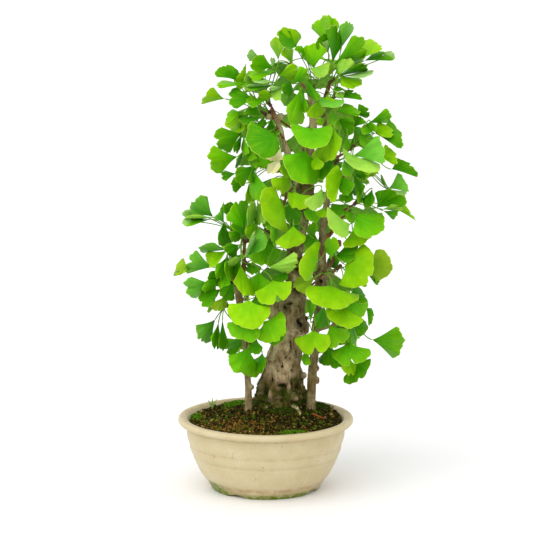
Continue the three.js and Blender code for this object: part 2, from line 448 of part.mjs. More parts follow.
// ---------------------------------------------------------------- soil and what lies on it
function soilTop(x, y) {
  const away = new THREE.Vector2(x, y).distanceToSquared(MOUND_CENTRE);
  return SOIL.edge + SOIL.mound * Math.exp(-away / (2 * SOIL.spread ** 2));
}

/** Soil up to its surface, which is raised by lift. */
function soilBody(lift) {
  const wall = POT_INSIDE.map(([radius, height]) => [radius - GAP, height]).reverse();
  const brim = POT_INSIDE[0][0] + SOIL.brim - GAP;
  const rings = Array.from({ length: SOIL.rings + 1 }, (_, i) => [brim * (1 - i / SOIL.rings), SOIL.edge]);
  const body = lathe([[0, POT_FLOOR.top + GAP], ...wall, ...rings], POT_SIDES);
  const spots = body.attributes.position;
  for (let i = 0; i < spots.count; i++) {
    if (Math.abs(spots.getZ(i) - SOIL.edge) > 1e-3) continue;
    spots.setZ(i, soilTop(spots.getX(i), spots.getY(i)) + lift);
  }
  return solid(body);
}

function soil(planted) {
  const netHeight = NET.thickness + 2 * GAP;
  const clipHeight = 2 * CLIP.radius + GAP;
  const netSide = NET.side + HOLLOW.net;
  const clipSide = 2 * CLIP.leg + HOLLOW.clip;
  const net = block(netSide, netSide, 2 * netHeight, 0, 0, POT_FLOOR.top);
  const clip = block(clipSide, HOLLOW.clip, 2 * (netHeight + clipHeight), 0, CLIP.row, POT_FLOOR.top);
  return largest(cut(soilBody(0), [net, clip, ...planted]));
}

function mossCushion([, x, y, halfX, halfY, height], obstacles) {
  const dome = new THREE.SphereGeometry(1, 10, 5).rotateX(Math.PI / 2).scale(halfX, halfY, height);
  dome.translate(x, y, soilTop(x, y));
  return largest(cut(solid(dome), obstacles));
}

function fallenTwig() {
  const { radius, tip, lift, path } = FALLEN_TWIG;
  const points = path.map(([x, y]) => new THREE.Vector3(x, y, soilTop(x, y) + lift));
  return limb(points, [radius, radius * tip], { sides: 5, steps: 4 });
}

/** Sprig of grass: blades that lean apart from one foot on the soil. */
function grassSprig() {
  const { x, y, lift, width, waist, tip } = GRASS;
  const foot = new THREE.Vector3(x, y, soilTop(x, y) + lift);
  const blades = Array.from({ length: GRASS.blades }, (_, i) => {
    const lean = THREE.MathUtils.degToRad(GRASS.lean * (i - (GRASS.blades - 1) / 2));
    const way = new THREE.Vector3(Math.sin(lean), GRASS.fanning * i, Math.cos(lean));
    const end = foot.clone().addScaledVector(way, GRASS.height);
    const points = [foot, foot.clone().lerp(end, waist), end];
    return limb(points, [width / 2, width / 2, tip], { sides: 4, steps: 2 });
  });
  return join(blades);
}

// ---------------------------------------------------------------- trees
function stemPoints({ stations }) {
  return stations.map(([x, z, y]) => place(x, z, y));
}

function stemLimb(stem, grow) {
  return limb(stemPoints(stem), stem.stations.map((station) => station[3]), { ...stem, grow });
}

function burr([, x, z, y, halfX, halfY, halfZ], grow) {
  const knob = new THREE.IcosahedronGeometry(KNOB_RADIUS).scale(halfX + grow, halfY + grow, halfZ + grow);
  const { x: atX, y: atY, z: atZ } = place(x, z, y);
  return solid(knob.translate(atX, atY, atZ));
}

function root({ radius, path }, grow) {
  const points = path.map((point) => new THREE.Vector3(...point));
  const radii = points.map((_, i) => radius * (1 - (ROOT_TAPER * i) / points.length));
  return limb(points, radii, { sides: 5, steps: 4, grow });
}

/** Point on a stem's axis at the given height. */
function axisAt(stem, height) {
  const samples = new THREE.CatmullRomCurve3(stemPoints(stem)).getSpacedPoints(AXIS_SAMPLES);
  const off = (spot) => Math.abs(spot.z - height);
  return samples.reduce((best, spot) => (off(spot) < off(best) ? spot : best));
}

/** Twig from its stem up to the foot of a short shoot. */
function twig(spray, grow) {
  const stem = STEMS[spray.stem];
  const level = axisAt(stem, spray.foot.z);
  const rise = THREE.MathUtils.clamp(TWIG.rise * level.distanceTo(spray.foot), TWIG.least, TWIG.most);
  const start = axisAt(stem, spray.foot.z - rise);
  const back = Math.min(TWIG.lead, start.distanceTo(spray.foot) / 2);
  const lead = spray.foot.clone().addScaledVector(spray.heading, -back);
  return limb([start, lead, spray.foot], [TWIG.first, TWIG.last, TWIG.last], { sides: 3, steps: 2, grow });
}

/** One tree with its stems, burrs, roots and twigs grown together; grow adds clearance all over. */
function tree(name, sprays, grow) {
  const own = Object.values(STEMS).filter((stem) => stem.tree === name);
  const stems = own.map((stem) => stemLimb(stem, grow));
  const burrs = BURRS.filter((entry) => entry[0] === name).map((entry) => burr(entry, grow));
  const roots = name === 'main_trunk' ? ROOTS.map((entry) => root(entry, grow)) : [];
  const twigs = sprays.filter((spray) => STEMS[spray.stem].tree === name).map((spray) => twig(spray, grow));
  return join([...stems, ...burrs, ...roots, ...twigs]);
}

// ---------------------------------------------------------------- leaves
/** Repeatable number from 0 to 1 for a whole number. */
function chance(seed) {
  const value = Math.sin(seed * 12.9898) * 43758.5453;
  return value - Math.floor(value);
}

/** Centre x and half width of the crown at a height. */
function crownAt(height) {
  const above = Math.max(1, CROWN.findIndex((row) => row[0] >= height));
  const [low, high] = [CROWN[above - 1], CROWN[above]];
  const part = THREE.MathUtils.clamp((height - low[0]) / (high[0] - low[0]), 0, 1);
  return [1, 2].map((column) => THREE.MathUtils.lerp(low[column], high[column], part));
}

/** Direction of a short shoot: outwards from the crown's axis and up. */
function shootHeading(foot) {
  const out = new THREE.Vector3(foot.x - CROWN_AXIS.x, foot.y - CROWN_AXIS.y, 0).normalize();
  return out.multiplyScalar(SPUR.out).addScaledVector(UP, SPUR.rise).normalize();
}

/** Leaf from its four points, with its corners in the order that turns its upper side to way. */
function makeLeaf(base, left, edge, right, way) {
  const along = edge.clone().sub(base).normalize();
  const normal = right.clone().sub(left).cross(along).normalize();
  if (normal.dot(way) < 0) return makeLeaf(base, right, edge, left, way);
  return { base, left, edge, right, along, normal };
}

/** Front leaf: seen short it leans its outer edge to the eye, and seen narrow it is turned. */
function frontLeaf([baseX, baseZ, leftX, leftZ, edgeX, edgeZ, rightX, rightZ, depth]) {
  const out = new THREE.Vector2(edgeX - baseX, edgeZ - baseZ);
  const halfway = new THREE.Vector2((leftX + rightX) / 2 - baseX, (leftZ + rightZ) / 2 - baseZ);
  const seenWidth = Math.hypot(rightX - leftX, rightZ - leftZ);
  const width = LEAF.spare * Math.max(seenWidth, LEAF.widthPerLength * out.length());
  const fall = Math.sqrt(Math.max((width / LEAF.widthPerLength) ** 2 - out.lengthSq(), 0));
  const turn = Math.min(Math.sqrt(width ** 2 - seenWidth ** 2), LEAF.mostTurn * width) / 2;
  const nearer = chance(baseX + 7 * baseZ) < 0.5 ? -turn : turn;
  const share = THREE.MathUtils.clamp(halfway.dot(out) / out.lengthSq(), ...LEAF.cornerRange);
  const base = place(baseX, baseZ, depth);
  const left = place(leftX, leftZ, depth - share * fall - nearer);
  const edge = place(edgeX, edgeZ, depth - fall);
  const right = place(rightX, rightZ, depth - share * fall + nearer);
  return makeLeaf(base, left, edge, right, EYE.clone().sub(base));
}

function frontSpray({ stem, spur: [x, z, y], leaves }) {
  const foot = place(x, z, y);
  return { stem, foot, heading: shootHeading(foot), leaves: leaves.map(frontLeaf) };
}

/** Point behind the stems: azimuth from straight back towards +X, share of the radius, height. */
function backPoint(azimuth, share, height) {
  const [centre, half] = crownAt(height);
  const angle = THREE.MathUtils.degToRad(azimuth);
  const x = centre + half * share * Math.sin(angle);
  return new THREE.Vector3(x, BACK.centre + half * share * BACK.depth * Math.cos(angle), height);
}

/** Back leaf number n of a spiral round the crown: it points outwards and droops more lower down. */
function backLeaf(_, n) {
  const level = (n + 0.5) / BACK.leaves;
  const azimuth = BACK.sweep * (((n + 1) * GOLDEN) % 1 - 0.5);
  const turn = THREE.MathUtils.degToRad(azimuth);
  const height = THREE.MathUtils.lerp(BACK.low, BACK.high, level) + BACK.heightVary * (chance(n + 0.2) - 0.5);
  const base = backPoint(azimuth, BACK.baseAt + BACK.baseVary * chance(n), height);
  const vary = BACK.droopVary * (chance(n + 0.3) - 0.5);
  const droop = THREE.MathUtils.degToRad(BACK.droop - BACK.droopFall * level + vary);
  const heading = turn + THREE.MathUtils.degToRad(BACK.swing * (chance(n + 0.45) - 0.5));
  const roll = THREE.MathUtils.degToRad(BACK.roll * (chance(n + 0.85) - 0.5));
  const out = new THREE.Vector3(Math.sin(heading), Math.cos(heading), 0);
  const along = out.clone().multiplyScalar(Math.cos(droop)).addScaledVector(UP, -Math.sin(droop));
  const normal = out.multiplyScalar(Math.sin(droop)).addScaledVector(UP, Math.cos(droop));
  normal.applyAxisAngle(along, roll);
  const width = BACK.width + BACK.widthVary * chance(n + 0.6);
  const length = width / LEAF.widthPerLength;
  const shoulder = base.clone().addScaledVector(along, length * LEAF.cornerAt);
  const half = along.clone().cross(normal).multiplyScalar(width / 2);
  const edge = base.clone().addScaledVector(along, length);
  return makeLeaf(base, shoulder.clone().sub(half), edge, shoulder.clone().add(half), normal);
}

/** Back sprays: short shoots spread through the crown, each with the leaves nearest to it. */
function backSprays() {
  const sprays = Array.from({ length: BACK.sprays }, (_, k) => {
    const height = THREE.MathUtils.lerp(BACK.low, BACK.high, (k + 0.5) / BACK.sprays);
    const foot = backPoint(BACK.sweep * (((k + 1) * GOLDEN) % 1 - 0.5), BACK.spurAt, height);
    return { stem: nearestStem(foot), foot, heading: shootHeading(foot), leaves: [] };
  });
  for (const leaf of Array.from({ length: BACK.leaves }, backLeaf)) {
    const reach = (spray) => spray.foot.distanceTo(leaf.base);
    sprays.reduce((best, spray) => (reach(spray) < reach(best) ? spray : best)).leaves.push(leaf);
  }
  return sprays;
}

function nearestStem(foot) {
  const reach = (name) => axisAt(STEMS[name], foot.z - TWIG.least).distanceTo(foot);
  return ['trunk', 'right', 'left'].reduce((best, name) => (reach(name) < reach(best) ? name : best));
}

/** Directions across a leaf and through it, square to heading. */
function sectionAcross(across, heading) {
  const side = across.clone().addScaledVector(heading, -across.dot(heading)).normalize();
  return { side, through: side.clone().cross(heading) };
}

/** Section where the stalk meets the blade, on the plane that halves the angle between them. */
function joint({ base, along, normal }, start) {
  const bisector = base.clone().sub(start).normalize().add(along).normalize();
  return sectionAcross(along.clone().cross(normal), bisector);
}

/** Outline of a blade on its own plane, x across and y along, from one side of the stalk round. */
function outline({ base, left, edge, right, along, normal }, grow) {
  const across = along.clone().cross(normal);
  const corners = [right, edge, left].map((corner) => corner.clone().sub(base))
    .map((spot) => new THREE.Vector2(spot.dot(across), spot.dot(along)));
  const sum = corners.reduce((total, corner) => total.add(corner), new THREE.Vector2());
  const middle = sum.divideScalar(corners.length);
  const outset = CORNER.outset * grow - CORNER.trim;
  const trimmed = corners.map((corner) => {
    const out = corner.clone().sub(middle).normalize();
    return corner.addScaledVector(out, outset);
  });
  const halfStalk = STALK.width / 2 + grow;
  return [new THREE.Vector2(-halfStalk, 0), new THREE.Vector2(halfStalk, 0), ...trimmed];
}

/** Blade: a thin plate in the shape of a fan, spread from the end of its stalk. */
function blade(leaf, start, grow) {
  const { base, along, normal } = leaf;
  const thickness = BLADE_THICKNESS + 2 * grow;
  const shape = new THREE.Shape(outline(leaf, grow));
  const plate = new THREE.ExtrudeGeometry(shape, { depth: thickness, bevelEnabled: false });
  plate.translate(0, 0, -thickness / 2);
  const across = along.clone().cross(normal);
  const { side, through } = joint(leaf, start);
  reshape(plate, (x, y, z) => (y === 0
    ? base.clone().addScaledVector(side, keel(x, z)).addScaledVector(through, z)
    : base.clone().addScaledVector(across, x).addScaledVector(along, y).addScaledVector(normal, z)));
  return solid(plate);
}

/** Stalks are flat above and have a keel below: the two lower corners of their section are one. */
const keel = (x, z) => (z < 0 ? 0 : x);

/** Leaf stalk from start, inside the short shoot, to the blade. */
function stalk(leaf, start, grow) {
  const { base, along, normal } = leaf;
  const heading = base.clone().sub(start).normalize();
  const first = sectionAcross(along.clone().cross(normal), heading);
  const last = joint(leaf, start);
  const bar = new THREE.BoxGeometry(STALK.width + 2 * grow, 1, BLADE_THICKNESS + 2 * grow);
  reshape(bar, (x, y, z) => {
    const [spot, { side, through }, scale] = y < 0 ? [start, first, STALK.taper] : [base, last, 1];
    return spot.clone().addScaledVector(side, keel(x, z) * scale).addScaledVector(through, z * scale);
  });
  return solid(bar);
}

/** Moves each vertex of a geometry to where shape(x, y, z) puts it. */
function reshape(geometry, shape) {
  const spots = geometry.attributes.position;
  for (let i = 0; i < spots.count; i++) {
    const spot = shape(spots.getX(i), spots.getY(i), spots.getZ(i));
    spots.setXYZ(i, spot.x, spot.y, spot.z);
  }
}

/** Where leaf number i leaves its short shoot: up its length and on the side of its blade. */
function stalkStart({ foot, heading, leaves }, i) {
  const start = foot.clone().addScaledVector(heading, STALK.first + STALK.stagger * i);
  const aside = leaves[i].base.clone().sub(start);
  aside.addScaledVector(heading, -aside.dot(heading)).normalize();
  return start.addScaledVector(aside, STALK.aside);
}

/** Short shoot with its leaf stalks. */
function stalks(spray, grow) {
  const { foot, heading, leaves } = spray;
  const ends = [SPUR.start, SPUR.length].map((rise) => foot.clone().addScaledVector(heading, rise));
  const spur = limb(ends, [SPUR.radius, SPUR.radius], { sides: 4, steps: 1, grow });
  return join([spur, ...leaves.map((leaf, i) => stalk(leaf, stalkStart(spray, i), grow))]);
}

/** Sprays as solids that keep clear of the trees, of each other's stalks and of earlier blades. */
function spraySolids(sprays, trees) {
  const clearStalks = sprays.map((spray) => stalks(spray, GAP));
  const skeletons = sprays.map((spray, i) => cut(stalks(spray, 0), [...trees, ...clearStalks.slice(0, i)]));
  const clearBlades = [];
  return sprays.map((spray, i) => {
    const others = [...trees, ...clearStalks.filter((_, j) => j !== i), ...clearBlades];
    const blades = spray.leaves.map((leaf, j) => cut(blade(leaf, stalkStart(spray, j), 0), others));
    clearBlades.push(...spray.leaves.map((leaf, j) => blade(leaf, stalkStart(spray, j), GAP)));
    return largest(join([skeletons[i], ...blades]));
  });
}

// ---------------------------------------------------------------- assembly
const TREES = ['main_trunk', 'right_trunk', 'left_trunk'];
const sprays = [...FRONT_SPRAYS.map(frontSpray), ...backSprays()];
const grown = TREES.map((name) => tree(name, sprays, 0));
const clearTrees = TREES.map((name) => tree(name, sprays, GAP));
const trunks = grown.map((body, i) => largest(cut(body, clearTrees.slice(0, i))));
const raisedSoil = soilBody(GAP);

const group = new THREE.Group();
group.add(mesh('pot', pot(), GLAZE));
group.add(mesh('drain_net', drainNet(), NET_PLASTIC));
group.add(mesh('net_clip', meshClip(), WIRE));
group.add(mesh('soil', soil(clearTrees), SOIL_MIX));
for (const patch of MOSS) {
  const cushion = mossCushion(patch, [raisedSoil, ...clearTrees]);
  group.add(mesh(patch[0], cushion, MOSS_GREEN));
}
group.add(mesh('fallen_twig', fallenTwig(), TWIG_BARK));
group.add(mesh('grass_sprig', grassSprig(), GRASS_GREEN));
trunks.forEach((body, i) => group.add(mesh(TREES[i], body, BARK)));
spraySolids(sprays, clearTrees).forEach((body, i) => {
  const name = `leaf_spray_${String(i + 1).padStart(2, '0')}`;
  group.add(mesh(name, body, LEAF_GREENS[i % LEAF_GREENS.length]));
});

const box = new THREE.Box3().setFromObject(group);
const middle = box.getCenter(new THREE.Vector3());
group.position.set(-middle.x, -middle.y, -box.min.z);

export default group;
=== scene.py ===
"""Looks of a ginkgo bonsai: three trees on one mound of soil in a round stoneware pot.

Lengths are millimetres measured from the middle of the pot's foot, the front faces -Y, and
Bench.world turns them into the frame's metres when a mesh is made.
"""

import logging
import math
from dataclasses import dataclass
from enum import Enum

import bmesh
import bpy
import numpy as np
from bpy.types import Material, Mesh, Node, NodeSocket, Object
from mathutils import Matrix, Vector, noise
from mathutils.bvhtree import BVHTree
from numpy import ndarray as Array
from numpy.random import Generator


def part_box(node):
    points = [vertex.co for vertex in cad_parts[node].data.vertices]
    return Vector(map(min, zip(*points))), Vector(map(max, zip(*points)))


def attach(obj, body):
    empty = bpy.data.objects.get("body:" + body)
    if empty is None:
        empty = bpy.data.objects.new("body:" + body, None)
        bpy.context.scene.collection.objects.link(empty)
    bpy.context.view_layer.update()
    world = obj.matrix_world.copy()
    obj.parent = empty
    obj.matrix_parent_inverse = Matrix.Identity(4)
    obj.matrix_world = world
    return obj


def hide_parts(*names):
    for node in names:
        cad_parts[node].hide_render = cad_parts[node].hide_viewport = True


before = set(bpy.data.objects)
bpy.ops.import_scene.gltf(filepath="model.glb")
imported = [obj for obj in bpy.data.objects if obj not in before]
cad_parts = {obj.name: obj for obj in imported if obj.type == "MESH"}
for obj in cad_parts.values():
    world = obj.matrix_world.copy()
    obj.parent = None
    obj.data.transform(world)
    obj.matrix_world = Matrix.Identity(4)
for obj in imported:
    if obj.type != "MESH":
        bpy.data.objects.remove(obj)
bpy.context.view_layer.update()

log = logging.getLogger("ginkgo_bonsai")

Span = tuple[float, float]
Triple = tuple[float, float, float]
Face = tuple[int, ...]

MM = 0.001
BODY = "root"
UP = np.array((0.0, 0.0, 1.0))
GOLDEN = 0.618034
X, Y, Z = 0, 1, 2


# ------------ numbers, directions and places
def chance(seed: float) -> float:
    """Return a repeatable number from 0 to 1 for a seed."""
    value = math.sin(seed * 12.9898) * 43758.5453
    return value - math.floor(value)


def lerp(low: float, high: float, share: float) -> float:
    """Return the number that lies share of the way from low to high."""
    return low + (high - low) * share


def unit(vector: Array) -> Array:
    """Return the vector, or each row of an array of vectors, at length 1."""
    return vector / np.maximum(np.linalg.norm(vector, axis=-1, keepdims=True), 1e-12)


def smooth_share(values: Array, low: float, high: float) -> Array:
    """Return 0 short of low, 1 beyond high and a smooth run between; low may be the larger."""
    share = np.clip((values - low) / (high - low), 0, 1)
    return share * share * (3 - 2 * share)


def bell(values: Array, middle: float, reach: float) -> Array:
    """Return 1 at the middle, falling off to both sides over about the reach."""
    return np.exp(-(((values - middle) / reach) ** 2))


def srgb(red: float, green: float, blue: float) -> Triple:
    """Return a screen colour, 0 to 255, as linear light."""
    shares = [channel / 255 for channel in (red, green, blue)]
    return tuple(s / 12.92 if s <= 0.04045 else ((s + 0.055) / 1.055) ** 2.4 for s in shares)


def smooth_run(points: Array, steps: int) -> Array:
    """Return a smooth curve through points.

    Args:
        points: Corners of the run, one row each.
        steps: Pieces that each stretch between two corners is cut into.

    Returns:
        The points of the curve, both ends included.
    """
    padded = np.vstack([2 * points[0] - points[1], points, 2 * points[-1] - points[-2]])
    run = []
    for before, start, end, after in zip(padded, padded[1:], padded[2:], padded[3:]):
        for t in np.arange(steps) / steps:
            lean = (end - before) * t + (2 * before - 5 * start + 4 * end - after) * t * t
            bend = (3 * start - before - 3 * end + after) * t**3
            run.append(start + 0.5 * (lean + bend))
    return np.vstack(run + [points[-1]])


@dataclass(frozen=True)
class Elevation:
    """The front elevation, drawn on the plane y = 0 as it is seen from the eye."""

    eye: Triple = (1.0, -2400.0, 650.0)

    def place(self, x: float, z: float, y: float) -> Array:
        """Return the point of the elevation slid along the line of sight to depth y."""
        eye = np.array(self.eye)
        return eye + (np.array((x, 0.0, z)) - eye) * (1 - y / self.eye[1])


ELEVATION = Elevation()


class Bench:
    """Turns the model's millimetres into the frame's metres."""

    def __init__(self) -> None:
        """Find the middle of the pot's foot in the frame."""
        low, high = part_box("pot")
        self.foot = np.array(((low.x + high.x) / 2, (low.y + high.y) / 2, low.z))

    def world(self, points: Array) -> Array:
        """Return points in the frame's metres."""
        return points * MM + self.foot

    def local(self, points: Array) -> Array:
        """Return the frame's points in millimetres from the pot's foot."""
        return (points - self.foot) / MM


BENCH = Bench()


# ------------ finishes
@dataclass(frozen=True)
class Clouds:
    """Noise in a finish: blotches of a size in metres.

    low and high are the values of the noise that become 0 and strength. A squeeze below 1 draws
    the blotches out upwards.
    """

    size: float
    low: float
    high: float
    detail: float = 3
    strength: float = 1
    squeeze: float = 1


class Recipe:
    """A material under construction: its node tree and the shader that everything feeds."""

    def __init__(self, name: str, roughness: float, specular: float = 0.5) -> None:
        """Start a material.

        Args:
            name: The material's name.
            roughness: Roughness all over.
            specular: Strength of the gloss.
        """
        self.material = bpy.data.materials.new(name)
        self.material.use_nodes = True
        self.nodes = self.material.node_tree.nodes
        self.links = self.material.node_tree.links
        self.shader = self.nodes["Principled BSDF"]
        self.set("Roughness", roughness)
        self.set("Specular IOR Level", specular)

    def set(self, socket: str, value: float) -> None:
        """Set one of the shader's own numbers."""
        self.shader.inputs[socket].default_value = value

    def feed(self, socket: str, source: NodeSocket) -> None:
        """Link a result to one of the shader's sockets."""
        self.links.new(source, self.shader.inputs[socket])

    def node(self, kind: str, values: dict, **settings: object) -> Node:
        """Add a node.

        Args:
            kind: Blender's name of the node's type.
            values: A number, colour or socket for each input named or numbered.
            settings: The node's own properties.

        Returns:
            The node.
        """
        made = self.nodes.new(kind)
        for name, value in settings.items():
            setattr(made, name, value)
        for key, value in values.items():
            if isinstance(value, NodeSocket):
                self.links.new(value, made.inputs[key])
            else:
                made.inputs[key].default_value = value
        return made

    def place(self, stretch: Triple = (1, 1, 1)) -> NodeSocket:
        """Return the point on the piece, in metres, stretched along the three axes."""
        point = self.node("ShaderNodeTexCoord", {}).outputs["Object"]
        return self.node("ShaderNodeMapping", {"Vector": point, "Scale": stretch}).outputs[0]

    def noise(self, where: NodeSocket, size: float, detail: float = 3) -> NodeSocket:
        """Return clouds whose blotches are size metres across."""
        values = {"Vector": where, "Scale": 1 / size, "Detail": detail, "Roughness": 0.6}
        return self.node("ShaderNodeTexNoise", values).outputs[0]

    def ramp(self, source: NodeSocket, low: float, high: float) -> NodeSocket:
        """Return source stretched so that low becomes 0 and high becomes 1."""
        values = {"Value": source, "From Min": low, "From Max": high}
        return self.node("ShaderNodeMapRange", values).outputs[0]

    def times(self, first: NodeSocket, second: object) -> NodeSocket:
        """Return the product of two numbers."""
        factors = {0: first, 1: second}
        return self.node("ShaderNodeMath", factors, operation="MULTIPLY").outputs[0]

    def clouds(self, clouds: Clouds) -> NodeSocket:
        """Draw clouds on the piece.

        Args:
            clouds: How they look.

        Returns:
            0 between the clouds, their strength within them.
        """
        where = self.place((1, 1, clouds.squeeze))
        share = self.ramp(self.noise(where, clouds.size, clouds.detail), clouds.low, clouds.high)
        return self.times(share, clouds.strength)

    def mix(self, share: object, first: object, second: object, way: str = "MIX") -> NodeSocket:
        """Mix two colours.

        Args:
            share: How much of the second colour, a number or a socket.
            first: Colour or socket.
            second: Colour or socket.
            way: Blender's name of the way of mixing.

        Returns:
            The mixed colour.
        """
        pair = [c if isinstance(c, NodeSocket) else (*c, 1) for c in (first, second)]
        values = {0: share, 6: pair[0], 7: pair[1]}
        return self.node("ShaderNodeMix", values, data_type="RGBA", blend_type=way).outputs[2]

    def data(self, name: str, output: str = "Color") -> NodeSocket:
        """Return what the mesh stores under a name."""
        return self.node("ShaderNodeAttribute", {}, attribute_name=name).outputs[output]

    def bump(self, height: NodeSocket, depth: float, strength: float = 1) -> None:
        """Roughen the surface by a height of depth metres."""
        values = {"Strength": strength, "Distance": depth, "Height": height}
        self.feed("Normal", self.node("ShaderNodeBump", values).outputs[0])


@dataclass(frozen=True)
class GlazeFinish:
    """Cream glaze over stoneware: iron specks, brown staining in the joints, brown painted shade
    under the lip and in the wheel lines, green on the feet.
    """

    cream: Triple = srgb(211, 199, 165)
    warm: Triple = srgb(196, 179, 136)
    stain_and_shade_brown: Triple = srgb(158, 118, 62)
    algae: Triple = srgb(96, 118, 0)
    speck: Triple = srgb(110, 80, 44)
    mottle: Clouds = Clouds(0.035, 0.35, 0.7)
    grain: Clouds = Clouds(0.0016, 0.3, 0.9, 2)
    specks: Clouds = Clouds(0.0045, 0.745, 0.775, 1, strength=0.5)
    stain_and_shade_clouds: Clouds = Clouds(0.009, 0.3, 0.62, 4)
    tufts: Clouds = Clouds(0.006, 0.25, 0.55, 4)

    def make(self) -> Material:
        """Make the glaze; the mesh stores brown staining and painted shade in red and the algae in
        green.

        Returns:
            The material.
        """
        recipe = Recipe("cream_glaze", 0.42, 0.22)
        colour = recipe.mix(recipe.clouds(self.mottle), self.cream, self.warm)
        colour = recipe.mix(recipe.clouds(self.grain), colour, self.warm)
        colour = recipe.mix(recipe.clouds(self.specks), colour, self.speck)
        # red holds brown staining, and painted shade under the lip and in the wheel lines
        brown, green, _ = recipe.node("ShaderNodeSeparateColor", {0: recipe.data("tint")}).outputs
        brown = recipe.times(brown, recipe.clouds(self.stain_and_shade_clouds))
        colour = recipe.mix(brown, colour, self.stain_and_shade_brown)
        green = recipe.times(green, recipe.clouds(self.tufts))
        recipe.feed("Base Color", recipe.mix(green, colour, self.algae))
        where = recipe.place()
        recipe.bump(recipe.noise(where, 0.0025, 3), 0.0002, 0.5)
        return recipe.material


@dataclass(frozen=True)
class BarkFinish:
    """Grey-brown bark: dark in its furrows, painted shade in creases and hollows, olive where wet
    and as painted shade at the foot, red-brown on young wood.
    """

    pale: Triple = srgb(218, 197, 156)
    grey: Triple = srgb(164, 138, 98)
    brown: Triple = srgb(110, 82, 46)
    damp_and_shade: Triple = srgb(92, 74, 30)
    crack_and_shade: Triple = srgb(22, 16, 4)
    young: Triple = srgb(128, 70, 44)
    moss: Triple = srgb(58, 74, 2)
    streaks: Clouds = Clouds(0.0035, 0.36, 0.64, 5, squeeze=0.2)
    patches: Clouds = Clouds(0.010, 0.36, 0.6, 5, 0.9, 0.5)
    furrows: Clouds = Clouds(0.0022, 0.44, 0.3, 3, 0.75, 0.14)
    clumps: Clouds = Clouds(0.0045, 0.42, 0.58, 5)

    def make(self) -> Material:
        """Make the bark; the mesh stores painted shade of creases and hollows in red, wetness and
        painted shade at the foot in green, and youth in blue.

        Returns:
            The material.
        """
        recipe = Recipe("bark", 0.9, 0.12)
        split = recipe.node("ShaderNodeSeparateColor", {0: recipe.data("tint")})
        crack_and_shade, damp_and_shade, youth = split.outputs
        colour = recipe.mix(recipe.clouds(self.streaks), self.brown, self.grey)
        colour = recipe.mix(recipe.clouds(self.patches), colour, self.pale)
        colour = recipe.mix(recipe.times(youth, 0.9), colour, self.young)
        # olive for wet bark, and painted shade at the trunk's foot
        colour = recipe.mix(recipe.times(damp_and_shade, 0.85), colour, self.damp_and_shade)
        colour = recipe.mix(recipe.clouds(self.furrows), colour, self.crack_and_shade)
        # creases and hollows darkened from the mesh's red channel: painted shade
        colour = recipe.mix(crack_and_shade, colour, self.crack_and_shade)
        green = recipe.times(recipe.times(damp_and_shade, damp_and_shade), recipe.clouds(self.clumps))
        recipe.feed("Base Color", recipe.mix(green, colour, self.moss))
        where = recipe.place((1, 1, self.streaks.squeeze))
        recipe.bump(recipe.noise(where, 0.0014, 5), 0.0008, 0.9)
        return recipe.material


@dataclass(frozen=True)
class TintedFinish:
    """A finish whose colour the mesh stores, mottled and roughened at one size of grain."""

    name: str
    roughness: float
    specular: float
    grain: float
    mottle: float
    relief: float

    def make(self) -> Material:
        """Make the finish.

        Returns:
            The material.
        """
        recipe = Recipe(self.name, self.roughness, self.specular)
        shade = recipe.clouds(Clouds(self.grain, 0.25, 0.75))
        dark = recipe.mix(self.mottle, recipe.data("tint"), (0, 0, 0))
        recipe.feed("Base Color", recipe.mix(shade, dark, recipe.data("tint")))
        recipe.bump(recipe.noise(recipe.place(), self.grain / 2, 3), self.relief)
        return recipe.material


@dataclass(frozen=True)
class BladeFinish:
    """One side of a leaf blade: fine veins that fan out from the stalk over the stored colour."""

    name: str
    roughness: float
    pale: float
    rib_stretch: tuple = (60, 2.0, 1)
    vein: Triple = srgb(186, 220, 24)
    bloom: Triple = srgb(176, 214, 120)
    deep: Triple = srgb(20, 100, 0)
    veined: float = 0.3
    shaded: Clouds = Clouds(0.011, 0.35, 0.72, strength=0.24)

    def make(self) -> Material:
        """Make the finish; the mesh's UV runs across the blade and out from the stalk.

        Returns:
            The material.
        """
        recipe = Recipe(self.name, self.roughness, 0.05)
        fan = recipe.node("ShaderNodeUVMap", {}, uv_map="fan").outputs[0]
        drawn = {"Vector": fan, "Scale": self.rib_stretch}
        lines = recipe.node("ShaderNodeMapping", drawn).outputs[0]
        values = {"Vector": lines, "Scale": 1.0, "Detail": 2.0}
        ribs = recipe.node("ShaderNodeTexNoise", values).outputs[0]
        colour = recipe.mix(self.pale, recipe.data("tint"), self.bloom)
        veined = recipe.times(recipe.ramp(ribs, 0.5, 0.7), self.veined)
        colour = recipe.mix(veined, colour, self.vein)
        recipe.feed("Base Color", recipe.mix(recipe.clouds(self.shaded), colour, self.deep))
        recipe.bump(ribs, 0.0003, 0.6)
        return recipe.material


@dataclass(frozen=True)
class PlainFinish:
    """A finish of one colour with clouds of a second: wire, net plastic and the studio floor."""

    name: str
    colour: tuple
    cloud: tuple
    roughness: float
    metallic: float = 0.0
    size: float = 0.004

    def make(self) -> Material:
        """Make the finish.

        Returns:
            The material.
        """
        recipe = Recipe(self.name, self.roughness)
        recipe.set("Metallic", self.metallic)
        clouds = recipe.noise(recipe.place(), self.size)
        recipe.feed("Base Color", recipe.mix(clouds, self.colour, self.cloud))
        return recipe.material


